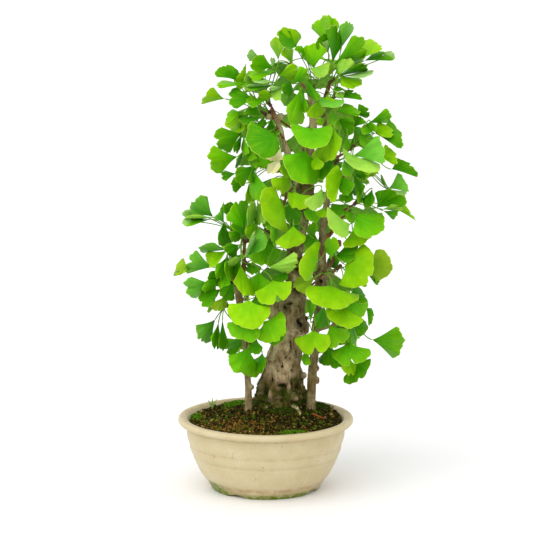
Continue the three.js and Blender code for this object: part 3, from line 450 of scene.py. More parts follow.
class Finishes:
    """Every material of the object, made once."""

    def __init__(self) -> None:
        """Make the materials."""
        self.glaze = GlazeFinish().make()
        self.bark = BarkFinish().make()
        self.upper = BladeFinish("leaf_upper", 0.45, 0.0).make()
        self.under = BladeFinish("leaf_underside", 0.6, 0.3).make()
        self.stalk = TintedFinish("leaf_stalk", 0.5, 0.25, 0.004, 0.15, 0.0001).make()
        self.spur = TintedFinish("short_shoot_bark", 0.8, 0.2, 0.0015, 0.5, 0.0004).make()
        self.soil = TintedFinish("soil_grains", 0.95, 0.1, 0.0018, 0.45, 0.0004).make()
        self.moss = TintedFinish("moss", 0.85, 0.1, 0.003, 0.35, 0.0003).make()
        self.twig = TintedFinish("twig_bark", 0.7, 0.2, 0.0015, 0.3, 0.0003).make()
        self.grass = TintedFinish("grass", 0.5, 0.25, 0.003, 0.15, 0.0001).make()
        self.net = PlainFinish("net_plastic", srgb(34, 54, 42), srgb(24, 40, 32), 0.6).make()
        self.wire = PlainFinish("wire", srgb(184, 184, 180), srgb(150, 150, 146), 0.35, 1.0).make()
        self.floor = PlainFinish("studio_floor", (0.92,) * 3, (0.91,) * 3, 0.9, 0.0, 2.0).make()


# ------------ mesh work
class Shells:
    """Gathers closed shells and makes one mesh object of them."""

    def __init__(self) -> None:
        """Start with no shell."""
        self.points: list[Array] = []
        self.tints: list[Array] = []
        self.fans: list[Array] = []
        self.faces: list[Face] = []
        self.slots: list[int] = []
        self.count = 0

    def add(
        self, points: Array, faces: list[Face], tint: Array | tuple,
        slot: int | list[int] = 0, fan: Array | None = None,
    ) -> None:
        """Add one shell.

        Args:
            points: Its points in millimetres, one row each.
            faces: Corner numbers of each face, counted within the shell.
            tint: One colour, or one for each point.
            slot: Material number, or one for each face.
            fan: Place across and along a blade, for each point.
        """
        total = len(points)
        self.points.append(points)
        self.tints.append(np.broadcast_to(np.asarray(tint, float), (total, 3)))
        self.fans.append(np.zeros((total, 2)) if fan is None else fan)
        offset = self.count
        self.faces.extend(tuple(corner + offset for corner in face) for face in faces)
        self.slots.extend([slot] * len(faces) if isinstance(slot, int) else slot)
        self.count += total

    def build(self, name: str, materials: list[Material], smooth: bool = True) -> Object:
        """Make the object.

        Args:
            name: The object's name.
            materials: Its materials, in the order of the slot numbers.
            smooth: Whether the faces are shaded as one smooth surface.

        Returns:
            The object, linked into the scene.
        """
        mesh = bpy.data.meshes.new(name)
        mesh.from_pydata(BENCH.world(np.vstack(self.points)).tolist(), [], self.faces)
        for material in materials:
            mesh.materials.append(material)
        mesh.polygons.foreach_set("material_index", self.slots)
        mesh.polygons.foreach_set("use_smooth", [smooth] * len(self.faces))
        store_tint(mesh, np.vstack(self.tints))
        corners = np.zeros(len(mesh.loops), int)
        mesh.loops.foreach_get("vertex_index", corners)
        layer = mesh.uv_layers.new(name="fan")
        layer.data.foreach_set("uv", np.vstack(self.fans)[corners].astype(np.float32).ravel())
        return link(name, mesh)


def read(items: bpy.types.bpy_prop_collection, name: str, width: int) -> Array:
    """Read one property of a mesh's points or edges.

    Args:
        items: The mesh's points or edges.
        name: The property.
        width: How many numbers it has.

    Returns:
        Its numbers, a row for each item.
    """
    values = np.zeros(len(items) * width, int if name == "vertices" else float)
    items.foreach_get(name, values)
    return values.reshape(-1, width)


def store_tint(mesh: Mesh, tints: Array) -> None:
    """Store colours under the name tint.

    Args:
        mesh: The mesh.
        tints: One colour for each of its points.
    """
    layer = mesh.attributes.new("tint", "FLOAT_COLOR", "POINT")
    colours = np.hstack([tints, np.ones((len(tints), 1))])
    layer.data.foreach_set("color", colours.astype(np.float32).ravel())


def link(name: str, mesh: Mesh) -> Object:
    """Put a mesh into the scene.

    Args:
        name: The object's name.
        mesh: The mesh.

    Returns:
        The new object.
    """
    made = bpy.data.objects.new(name, mesh)
    bpy.context.scene.collection.objects.link(made)
    return made


def hand_over(piece: Object, slot: str, *nodes: str) -> Object:
    """Seat a piece on the body.

    Args:
        piece: The finished object.
        slot: The record's material slot; not used.
        nodes: The frame's nodes that it stands for.

    Returns:
        The piece.
    """
    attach(piece, BODY)
    if nodes:
        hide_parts(*nodes)
    log.info("%s: %d faces", piece.name, len(piece.data.polygons))
    return piece


def grid_faces(rows: int, columns: int, closed: bool = False) -> list[Face]:
    """Return the four-cornered faces of a grid of points.

    Args:
        rows: Rows of points.
        columns: Points in a row.
        closed: Whether the last point of a row joins the first.

    Returns:
        The faces, each as four point numbers.
    """
    faces = []
    for row in range(rows - 1):
        for column in range(columns if closed else columns - 1):
            after = (column + 1) % columns
            low, high = row * columns, (row + 1) * columns
            faces.append((low + column, low + after, high + after, high + column))
    return faces


def rod_faces(rows: int, columns: int) -> list[Face]:
    """Return the faces of a closed grid of points, with a face over its first and last row.

    Args:
        rows: Rows of points.
        columns: Points in a row.

    Returns:
        The faces, the two ends last.
    """
    last = (rows - 1) * columns
    ends = [tuple(range(columns - 1, -1, -1)), tuple(range(last, last + columns))]
    return grid_faces(rows, columns, closed=True) + ends


def sweep(path: Array, radii: Array, sides: int, lumps: float = 0.0, seed: float = 0.0) -> tuple:
    """Sweep a round section along a path.

    Args:
        path: Points of the centre line.
        radii: Radius at each point.
        sides: Corners of the section.
        lumps: Share of the radius by which the corners vary.
        seed: Number that the variation starts from.

    Returns:
        The points and the faces of the closed shell.
    """
    tangents = unit(np.gradient(path, axis=0))
    side = unit(np.cross(tangents[0], UP if abs(tangents[0][2]) < 0.9 else np.array((1.0, 0, 0))))
    rings = []
    for number, (spot, tangent, radius) in enumerate(zip(path, tangents, radii)):
        side = unit(side - tangent * np.dot(side, tangent))
        other = np.cross(tangent, side)
        for corner in range(sides):
            turn = 2 * math.pi * corner / sides
            reach = radius * (1 + lumps * (chance(seed + 7.3 * number + 1.9 * corner) - 0.5))
            rings.append(spot + reach * (math.cos(turn) * side + math.sin(turn) * other))
    return np.array(rings), rod_faces(len(path), sides)


# ------------ pot and drainage
@dataclass(frozen=True)
class Band:
    """A band round the pot: where its middle is, how far it reaches and how strong it is."""

    middle: float
    reach: float
    strength: float

    def at(self, values: Array) -> Array:
        """Return the strength of the band at each value."""
        return self.strength * bell(values, self.middle, self.reach)


@dataclass
class Pot:
    """Round stoneware pot.

    outside, lip, inside and foot are the radius and height of the corners of its section. Bands
    lie at heights, rim_stain at a radius, and algae_left and algae_front at an angle from the
    front. Each rise holds the heights where algae starts and where it is full.
    """

    outside: tuple = ((72, 11), (78.6, 19.5), (85, 32), (90, 44.5), (94, 59), (96, 70), (97, 79))
    lip: tuple = (
        (97, 79), (103.5, 79.4), (106.5, 82.8), (105, 87), (100, 87.4), (96, 85.8), (91, 77.5),
    )
    inside: tuple = ((91, 77.5), (87.4, 57), (83.8, 44.5), (76, 27), (62, 14.2))
    foot: tuple = (
        (58, 6), (58.6, 0.6), (59.2, 0), (65, 0), (66, 1), (69.4, 7), (71.2, 9.8), (72, 11),
    )
    floor_top: float = 13.5
    floor_underside: float = 6.0
    drain: float = 11.0
    sides: int = 256
    wall_radius: float = 72.0
    lip_radius: float = 90.0
    lip_underside: float = 77.0
    rim_top: float = 85.8
    wheel_lines: tuple[Band, ...] = (Band(54.5, 1.5, -0.8), Band(42.0, 1.5, -0.8))
    swells: tuple[Band, ...] = (Band(48.3, 4.6, 0.5), Band(64.0, 5.5, 0.7))
    out_of_round: float = 0.5
    arches: int = 4
    arch_first: float = 58.25
    arch_half: float = 13.0
    arch_height: float = 3.0
    arched_from: float = 58.4
    foot_radius: float = 65.0
    junction: float = 11.0
    joint_stain: Band = Band(12.0, 2.2, 0.6)
    # brown line under the lip: painted shade
    under_lip_shade: Band = Band(78.6, 1.8, 0.6)
    rim_stain: Band = Band(99.0, 3.5, 0.6)
    # brown in the wheel lines' grooves: painted shade
    wheel_line_shade: tuple[Band, ...] = (Band(54.5, 1.6, 0.22), Band(42.0, 1.6, 0.22))
    foot_stain: float = 0.3
    algae_left: Band = Band(-58.0, 15.0, 1.6)
    left_rise: Span = (19.0, 8.0)
    algae_front: Band = Band(16.0, 38.0, 1.25)
    front_rise: Span = (8.5, 2.0)
    algae_least: float = 0.45
    least_rise: Span = (7.0, 1.0)
    algae_radius: float = 55.0

    def section(self) -> Array:
        """Draw the whole section, from the drain hole outwards.

        Returns:
            Radius and height of its corners.
        """
        top, under = (self.drain, self.floor_top), (self.drain, self.floor_underside)
        runs = [
            np.array((top, under, self.foot[0])),
            smooth_run(np.array(self.foot, float), 2),
            smooth_run(np.array(self.outside, float), 9),
            smooth_run(np.array(self.lip, float), 5),
            smooth_run(np.array(self.inside, float), 4),
            np.array((top,)),
        ]
        section = np.vstack(runs)
        keep = np.ones(len(section), bool)
        keep[1:] = np.linalg.norm(np.diff(section, axis=0), axis=1) > 1e-6
        return section[keep]

    def arch_at(self, angles: Array) -> Array:
        """Return the height of the arches under the foot.

        Args:
            angles: Angles counted from the front.

        Returns:
            The height at each angle.
        """
        spacing = 2 * math.pi / self.arches
        first = math.radians(self.arch_first)
        away = (angles - first + spacing / 2) % spacing - spacing / 2
        across = np.abs(away) * self.foot_radius / self.arch_half
        return self.arch_height * np.clip(1 - across**2, 0, 1)

    def shape(self, section: Array) -> Array:
        """Turn the section round and work it: wheel lines, swells and arches.

        Args:
            section: Radius and height of the corners.

        Returns:
            The points, one ring for each corner.
        """
        angles = np.linspace(0, 2 * math.pi, self.sides, endpoint=False)
        radius = np.repeat(section[:, :1], self.sides, axis=1)
        height = np.repeat(section[:, 1:], self.sides, axis=1)
        outer = radius > self.wall_radius
        for line in self.wheel_lines:
            radius = radius + np.where(outer & (height < self.lip_underside), line.at(height), 0)
        for swell in self.swells:
            radius = radius + np.where(outer, swell.at(height), 0)
        oval = self.out_of_round * np.sin(2 * angles + 0.6)
        radius = radius + oval * smooth_share(height, 30, 80)
        lift = np.clip(1 - height / self.junction, 0, 1) * self.arch_at(angles)
        height = height + np.where(radius > self.arched_from, lift, 0)
        return np.stack([radius * np.sin(angles), -radius * np.cos(angles), height], axis=-1)

    def stains_and_shade(self, points: Array) -> Array:
        """Return the staining of the glaze and its painted shade.

        Args:
            points: Points of the pot.

        Returns:
            How brown and how green each point is, and 0.
        """
        height = points[..., Z]
        radius = np.hypot(points[..., X], points[..., Y])
        angle = np.degrees(np.arctan2(points[..., X], -points[..., Y]))
        brown = self.joint_stain.at(height) + self.foot_stain * (height < self.junction)
        # painted shade along the underside of the lip
        brown += self.under_lip_shade.at(height) * (radius > self.lip_radius)
        brown += self.rim_stain.at(radius) * (height > self.rim_top)
        # painted shade along the wheel lines' grooves
        brown += sum(line.at(height) for line in self.wheel_line_shade) * (radius > self.wall_radius)
        green = self.algae_left.at(angle) * smooth_share(height, *self.left_rise)
        green += self.algae_front.at(angle) * smooth_share(height, *self.front_rise)
        green += self.algae_least * smooth_share(height, *self.least_rise)
        green = np.clip(green, 0, 1) * (radius > self.algae_radius)
        return np.stack([np.clip(brown, 0, 1), green, np.zeros_like(green)], axis=-1)

    def build(self, finishes: Finishes) -> Object:
        """Build the pot.

        Args:
            finishes: The materials.

        Returns:
            The pot.
        """
        section = self.section()
        points = self.shape(section)
        shells = Shells()
        rings = len(section)
        faces = [(a, d, c, b) for a, b, c, d in grid_faces(rings, self.sides, closed=True)]
        last = (rings - 1) * self.sides
        for column in range(self.sides):
            after = (column + 1) % self.sides
            faces.append((last + column, column, after, last + after))
        shells.add(points.reshape(-1, 3), faces, self.stains_and_shade(points).reshape(-1, 3))
        pot = shells.build("stoneware_pot", [finishes.glaze])
        return hand_over(pot, "glaze", "pot")


# ------------ soil and what lies on it
@dataclass(frozen=True)
class Ground:
    """Surface of the soil: level at the wall, with a mound round the foot of the thick tree."""

    edge: float = 82.5
    mound: float = 13.5
    spread: float = 44.0
    centre: Span = (18.0, 36.0)
    brim: float = 92.2

    def top(self, x: Array, y: Array) -> Array:
        """Return the height of the soil over each place."""
        away = (x - self.centre[0]) ** 2 + (y - self.centre[1]) ** 2
        return self.edge + self.mound * np.exp(-away / (2 * self.spread**2))


GROUND = Ground()


def lump(rough: bool) -> tuple[Array, list[Face]]:
    """Make a round lump of radius 1.

    Args:
        rough: Whether it is cut finely enough to be worked rough.

    Returns:
        Its points and its faces.
    """
    made = bmesh.new()
    bmesh.ops.create_icosphere(made, subdivisions=2 if rough else 1, radius=1)
    points = np.array([vertex.co[:] for vertex in made.verts])
    faces = [tuple(vertex.index for vertex in face.verts) for face in made.faces]
    made.free()
    return points, faces


@dataclass
class SoilBed:
    """Bed of baked clay grains, dark and damp, with more bare orange grains at the left front.

    seat is how far a grain's middle lies over the soil, least and most, in shares of its half size.
    """

    coarse: int = 1150
    fine: int = 4000
    coarse_size: Span = (1.1, 2.1)
    fine_size: Span = (0.7, 1.35)
    seed: int = 11
    rings: int = 46
    sides: int = 160
    relief: float = 0.9
    relief_scale: float = 0.22
    sink: float = 0.6
    bottom: float = 60.0
    taper: float = 0.94
    wall_gap: float = 1.5
    ragged: float = 0.34
    squash: Span = (0.75, 1.15)
    seat: Span = (-0.3, 0.55)
    shade: Span = (0.55, 1.25)
    bare_least: float = 0.08
    bare_more: float = 0.5
    other_shares: Triple = (0.16, 0.24, 0.27)
    bare_middle: Span = (-34.0, -50.0)
    bare_reach: Span = (38.0, 34.0)
    earth: tuple = (srgb(44, 36, 8), srgb(66, 56, 16))
    clay: Triple = srgb(142, 104, 42)
    olive: Triple = srgb(92, 96, 16)
    green: Triple = srgb(74, 116, 10)
    tan: Triple = srgb(172, 146, 86)

    def surface(self, shells: Shells) -> None:
        """Add the bed under the grains: a lumpy disc with a wall round it.

        Args:
            shells: The shells it joins.
        """
        angles = np.linspace(0, 2 * math.pi, self.sides, endpoint=False)
        radii = GROUND.brim * np.linspace(1, 0.004, self.rings)
        x, y = np.outer(radii, np.cos(angles)), np.outer(radii, np.sin(angles))
        scale = self.relief_scale
        places = [Vector((a * scale, b * scale, 0)) for a, b in zip(x.flat, y.flat)]
        relief = np.array([noise.noise(place) for place in places])
        z = GROUND.top(x, y) + self.relief * relief.reshape(x.shape) - self.sink
        top = np.stack([x, y, z], axis=-1).reshape(-1, 3)
        bottom = np.full(self.sides, self.bottom)
        low = np.stack([x[0] * self.taper, y[0] * self.taper, bottom], axis=-1)
        faces = rod_faces(self.rings + 1, self.sides)
        shells.add(np.vstack([low, top]), faces, self.earth[0])

    def grain_tint(self, x: float, y: float, rng: Generator) -> Array:
        """Draw the colour of a grain.

        Args:
            x: Its place to the right.
            y: Its place to the back.
            rng: Source of the draws.

        Returns:
            The colour.
        """
        across = (x - self.bare_middle[0]) / self.bare_reach[0]
        back = (y - self.bare_middle[1]) / self.bare_reach[1]
        bare = self.bare_least + self.bare_more * math.exp(-(across**2) - back**2)
        shares = (bare, *(bare + share for share in self.other_shares))
        kinds = (self.clay, self.olive, self.green, self.tan)
        draw = rng.random()
        shade = rng.uniform(*self.shade)
        for share, colour in zip(shares, kinds):
            if draw < share:
                return np.array(colour) * shade
        return np.array(self.earth[int(rng.random() < 0.5)]) * shade

    def grains(self, shells: Shells, count: int, sizes: tuple, rough: bool, rng: Generator) -> None:
        """Scatter grains.

        Args:
            shells: The shells they join.
            count: How many.
            sizes: Least and most half size.
            rough: Whether they are finely lumped.
            rng: Source of the draws.
        """
        points, faces = lump(rough)
        for _ in range(count):
            reach = (GROUND.brim - self.wall_gap) * math.sqrt(rng.random())
            turn = rng.uniform(0, 2 * math.pi)
            x, y = reach * math.cos(turn), reach * math.sin(turn)
            half = rng.uniform(*sizes)
            worn = points * (1 + self.ragged * (rng.random((len(points), 1)) - 0.5))
            spun = worn @ np.linalg.qr(rng.normal(size=(3, 3)))[0]
            body = spun * half * rng.uniform(*self.squash, 3)
            centre = np.array((x, y, GROUND.top(x, y) + half * rng.uniform(*self.seat)))
            shells.add(body + centre, faces, self.grain_tint(x, y, rng))

    def build(self, finishes: Finishes) -> Object:
        """Build the soil.

        Args:
            finishes: The materials.

        Returns:
            The soil.
        """
        rng = np.random.default_rng(self.seed)
        shells = Shells()
        self.surface(shells)
        self.grains(shells, self.coarse, self.coarse_size, True, rng)
        self.grains(shells, self.fine, self.fine_size, False, rng)
        soil = shells.build("soil_bed", [finishes.soil])
        fix_winding(soil)
        return hand_over(soil, "soil_mix", "soil")


def fix_winding(piece: Object) -> None:
    """Turn the faces of every shell of a piece outwards.

    Args:
        piece: The piece.
    """
    made = bmesh.new()
    made.from_mesh(piece.data)
    bmesh.ops.recalc_face_normals(made, faces=made.faces)
    made.to_mesh(piece.data)
    made.free()


@dataclass
class MossPatch:
    """Cushion of moss: a low lumpy dome set with tufts of pointed leaves.

    wood names a piece that the moss climbs, up to wood_top and further at its left side.
    """

    node: str
    x: float
    y: float
    half_x: float
    half_y: float
    height: float
    tufts: int
    green: tuple
    leaflets: int = 6
    leaflet: float = 2.3
    leaflet_vary: Span = (0.6, 1.2)
    leaflet_lean: Span = (0.1, 1.1)
    shade: Span = (0.2, 1.6)
    girth: float = 0.32
    rings: int = 9
    sides: int = 36
    dome_share: float = 0.42
    wobble: float = 0.16
    skirt: float = 1.5
    sink: float = 0.3
    spread: float = 1.5
    clump: float = 0.32
    sparse: float = 0.0
    wood: str = ""
    wood_top: float = 112.0
    side_rise: float = 16.0
    wood_clump: float = 0.16
    wood_share: float = 0.2
    earth: Triple = srgb(52, 50, 12)

    def rise(self, u: float, v: float) -> float:
        """Return the height of the cushion over the soil at a share of its two half sizes."""
        return self.height * self.dome_share * math.sqrt(max(0.0, 1 - u * u - v * v))

    def dome(self, shells: Shells) -> None:
        """Add the dome under the tufts.

        Args:
            shells: The shells it joins.
        """
        points = []
        for ring in range(self.rings):
            reach = math.cos(ring / (self.rings - 0.8) * math.pi / 2)
            for side in range(self.sides):
                turn = 2 * math.pi * side / self.sides
                uneven = noise.noise(Vector((3 * math.cos(turn), 3 * math.sin(turn), self.x)))
                wide = reach * (1 + self.wobble * uneven)
                u, v = wide * math.cos(turn), wide * math.sin(turn)
                x, y = self.x + u * self.half_x, self.y + v * self.half_y
                lift = self.rise(u * 0.98, v * 0.98) - (self.skirt if ring == 0 else 0)
                points.append((x, y, GROUND.top(x, y) + lift))
        faces = rod_faces(self.rings, self.sides)
        shells.add(np.array(points), faces, self.earth)

    def tuft(self, shells: Shells, foot: Array, rng: Generator, lean_to: Array) -> None:
        """Add one tuft of leaflets.

        Args:
            shells: The shells it joins.
            foot: Where it grows.
            rng: Source of the draws.
            lean_to: Direction that it leans in.
        """
        tint = np.array(self.green) * rng.uniform(*self.shade)
        for _ in range(self.leaflets):
            turn, lean = rng.uniform(0, 2 * math.pi), rng.uniform(*self.leaflet_lean)
            out = math.sin(lean)
            way = np.array((math.cos(turn) * out, math.sin(turn) * out, math.cos(lean)))
            way = unit(way + lean_to - UP)
            side = unit(np.cross(way, np.array((0.3, 0.9, 0.1))))
            other = np.cross(way, side)
            ring = [
                foot + self.girth * (math.cos(corner) * side + math.sin(corner) * other)
                for corner in (0, 2.1, 4.2)
            ]
            tip = foot + way * self.leaflet * rng.uniform(*self.leaflet_vary)
            shells.add(np.array([*ring, tip]), [(2, 1, 0), (0, 1, 3), (1, 2, 3), (2, 0, 3)], tint)

    def climb(self, shells: Shells, rng: Generator) -> None:
        """Set tufts on the wood beside the cushion, in clumps that thin out upwards.

        Args:
            shells: The shells they join.
            rng: Source of the draws.
        """
        mesh = bpy.data.objects[self.wood].data
        points = read(mesh.vertices, "co", 3)
        for spot, normal in zip(BENCH.local(points), read(mesh.vertices, "normal", 3)):
            top = self.wood_top + (self.side_rise if spot[X] < 0 else 0)
            share = (spot[Z] - GROUND.edge) / (top - GROUND.edge)
            bare = noise.noise(Vector(spot) * self.wood_clump) < share - 0.75
            if share < 1 and not bare and rng.random() < self.wood_share:
                self.tuft(shells, spot, rng, normal + 0.5 * UP)

    def build(self, finishes: Finishes) -> Object:
        """Build the cushion.

        Args:
            finishes: The materials.

        Returns:
            The cushion.
        """
        rng = np.random.default_rng(int(abs(self.x * 10 + self.y)))
        shells = Shells()
        self.dome(shells)
        for _ in range(self.tufts):
            turn = rng.uniform(0, 2 * math.pi)
            reach = math.sqrt(rng.random()) * rng.uniform(0.85, self.spread)
            u, v = reach * math.cos(turn), reach * math.sin(turn)
            x, y = self.x + u * self.half_x, self.y + v * self.half_y
            if noise.noise(Vector((x, y, 0)) * self.clump) > self.sparse:
                z = GROUND.top(x, y) + self.rise(u, v) - self.sink
                self.tuft(shells, np.array((x, y, z)), rng, UP)
        if self.wood:
            self.climb(shells, rng)
        patch = shells.build(f"{self.node}_tufts", [finishes.moss])
        return hand_over(patch, "moss", self.node)


MOSS_BRIGHT = srgb(98, 152, 12)
MOSS_DULL = srgb(76, 108, 10)
MOSS = (
    MossPatch("moss_left", -38, 58, 15, 20, 5, 1000, MOSS_BRIGHT),
    MossPatch("moss_rim", -84, 8, 6, 15, 4, 420, MOSS_BRIGHT),
    MossPatch("moss_front", 33, -74, 15, 10, 4, 600, MOSS_BRIGHT),
    MossPatch("moss_right", 65, 42, 13, 17, 5, 900, MOSS_DULL),
    MossPatch("moss_trunk", 22, 2, 17, 9, 5, 420, MOSS_DULL, wood="main_trunk_wood"),
)


@dataclass
class FallenTwig:
    """Dead orange-red twig that lies on the soil."""

    path: tuple = ((57, -3), (60, -6), (63, -9), (67, -13), (71, -16))
    radii: tuple = (1.0, 1.15, 0.9, 0.85, 0.55)
    lift: float = 1.9
    nub_at: int = 2
    nub: tuple = (-1.5, -2.5, 0.8)
    nub_radii: tuple = (0.6, 0.55, 0.5, 0.25)
    colour: Triple = srgb(176, 88, 44)

    def build(self, finishes: Finishes) -> Object:
        """Build the twig.

        Args:
            finishes: The materials.

        Returns:
            The twig.
        """
        points = np.array([(x, y, GROUND.top(x, y) + self.lift) for x, y in self.path])
        shells = Shells()
        run = smooth_run(points, 4)
        given = np.linspace(0, 1, len(self.radii))
        radii = np.interp(np.linspace(0, 1, len(run)), given, self.radii)
        shells.add(*sweep(run, radii, 8, 0.3, 3.0), self.colour)
        start = points[self.nub_at]
        nub = np.linspace(start, start + np.array(self.nub), len(self.nub_radii))
        shells.add(*sweep(nub, np.array(self.nub_radii), 6, 0.3, 5.0), self.colour)
        twig = shells.build("fallen_twig_wood", [finishes.twig])
        return hand_over(twig, "twig", "fallen_twig")


@dataclass
class GrassSprig:
    """Sprig of grass at the back left of the pot: blades that lean apart from one foot."""

    x: float = -66.0
    y: float = 48.0
    lift: float = 0.8
    blades: int = 3
    height: float = 13.0
    width: float = 2.0
    lean: float = 22.0
    rows: int = 9
    keel: Span = (-0.35, 0.1)
    colour: Triple = srgb(150, 185, 90)

    def blade(self, shells: Shells, foot: Array, number: int) -> None:
        """Add one blade, flat and keeled, that bends over towards its tip.

        Args:
            shells: The shells it joins.
            foot: Where it grows.
            number: Its number in the sprig.
        """
        lean = math.radians(self.lean * (number - (self.blades - 1) / 2))
        front, back = self.keel
        points = []
        for share in np.linspace(0, 1, self.rows):
            bend = lean * (0.7 + 0.6 * share)
            way = np.array((math.sin(bend), 0.2 * number * share, math.cos(bend)))
            spot = foot + self.height * share * way
            half = 0.5 * self.width * math.sin(math.pi * (0.18 + 0.8 * share)) + 0.05
            corners = ((-half, 0, 0), (0, front, 0), (half, 0, 0), (0, back, 0))
            points.extend(spot + corner for corner in corners)
        shells.add(np.array(points), rod_faces(self.rows, 4), self.colour)

    def build(self, finishes: Finishes) -> Object:
        """Build the sprig.

        Args:
            finishes: The materials.

        Returns:
            The sprig.
        """
        shells = Shells()
        foot = np.array((self.x, self.y, GROUND.top(self.x, self.y) + self.lift))
        for number in range(self.blades):
            self.blade(shells, foot, number)
        sprig = shells.build("grass_blades", [finishes.grass])
        return hand_over(sprig, "grass", "grass_sprig")


# ------------ trees
@dataclass(frozen=True)
class DampShadePart:
    """A part of the wood turned olive for wetness and, at the foot, painted shade: how much, and
    along which axes it sets in, from where to where.
    """

    amount: float
    runs: tuple[tuple[int, float, float], ...]

    def at(self, points: Array) -> Array:
        """Return how much olive this part lays on each point."""
        shares = [smooth_share(points[:, axis], *run) for axis, *run in self.runs]
        return self.amount * np.prod(shares, axis=0)


# the trunk's foot below about 130 mm turns olive as painted shade as well as for wetness
DAMP_SHADE_PARTS = (
    DampShadePart(1.0, ((Z, 138, 116),)),
    DampShadePart(0.9, ((X, 4, -6), (Z, 160, 134))),
    DampShadePart(0.6, ((X, 26, 36), (Z, 184, 150))),
    DampShadePart(0.55, ((Z, 186, 204),)),
    DampShadePart(0.3, ((Z, 228, 262),)),
    DampShadePart(0.5, ((Y, 44, 56),)),
)


@dataclass(frozen=True)
class Knot:
    """A knob, burr or hollow on the front of a stem: place on the elevation, reach, height.

    stretch lengthens it upwards, rings cuts growth rings round it, this far apart, and rust is
    how red-brown it is.
    """

    x: float
    z: float
    reach: float
    height: float
    stretch: float = 1.0
    rings: float = 0.0
    rust: float = 0.0


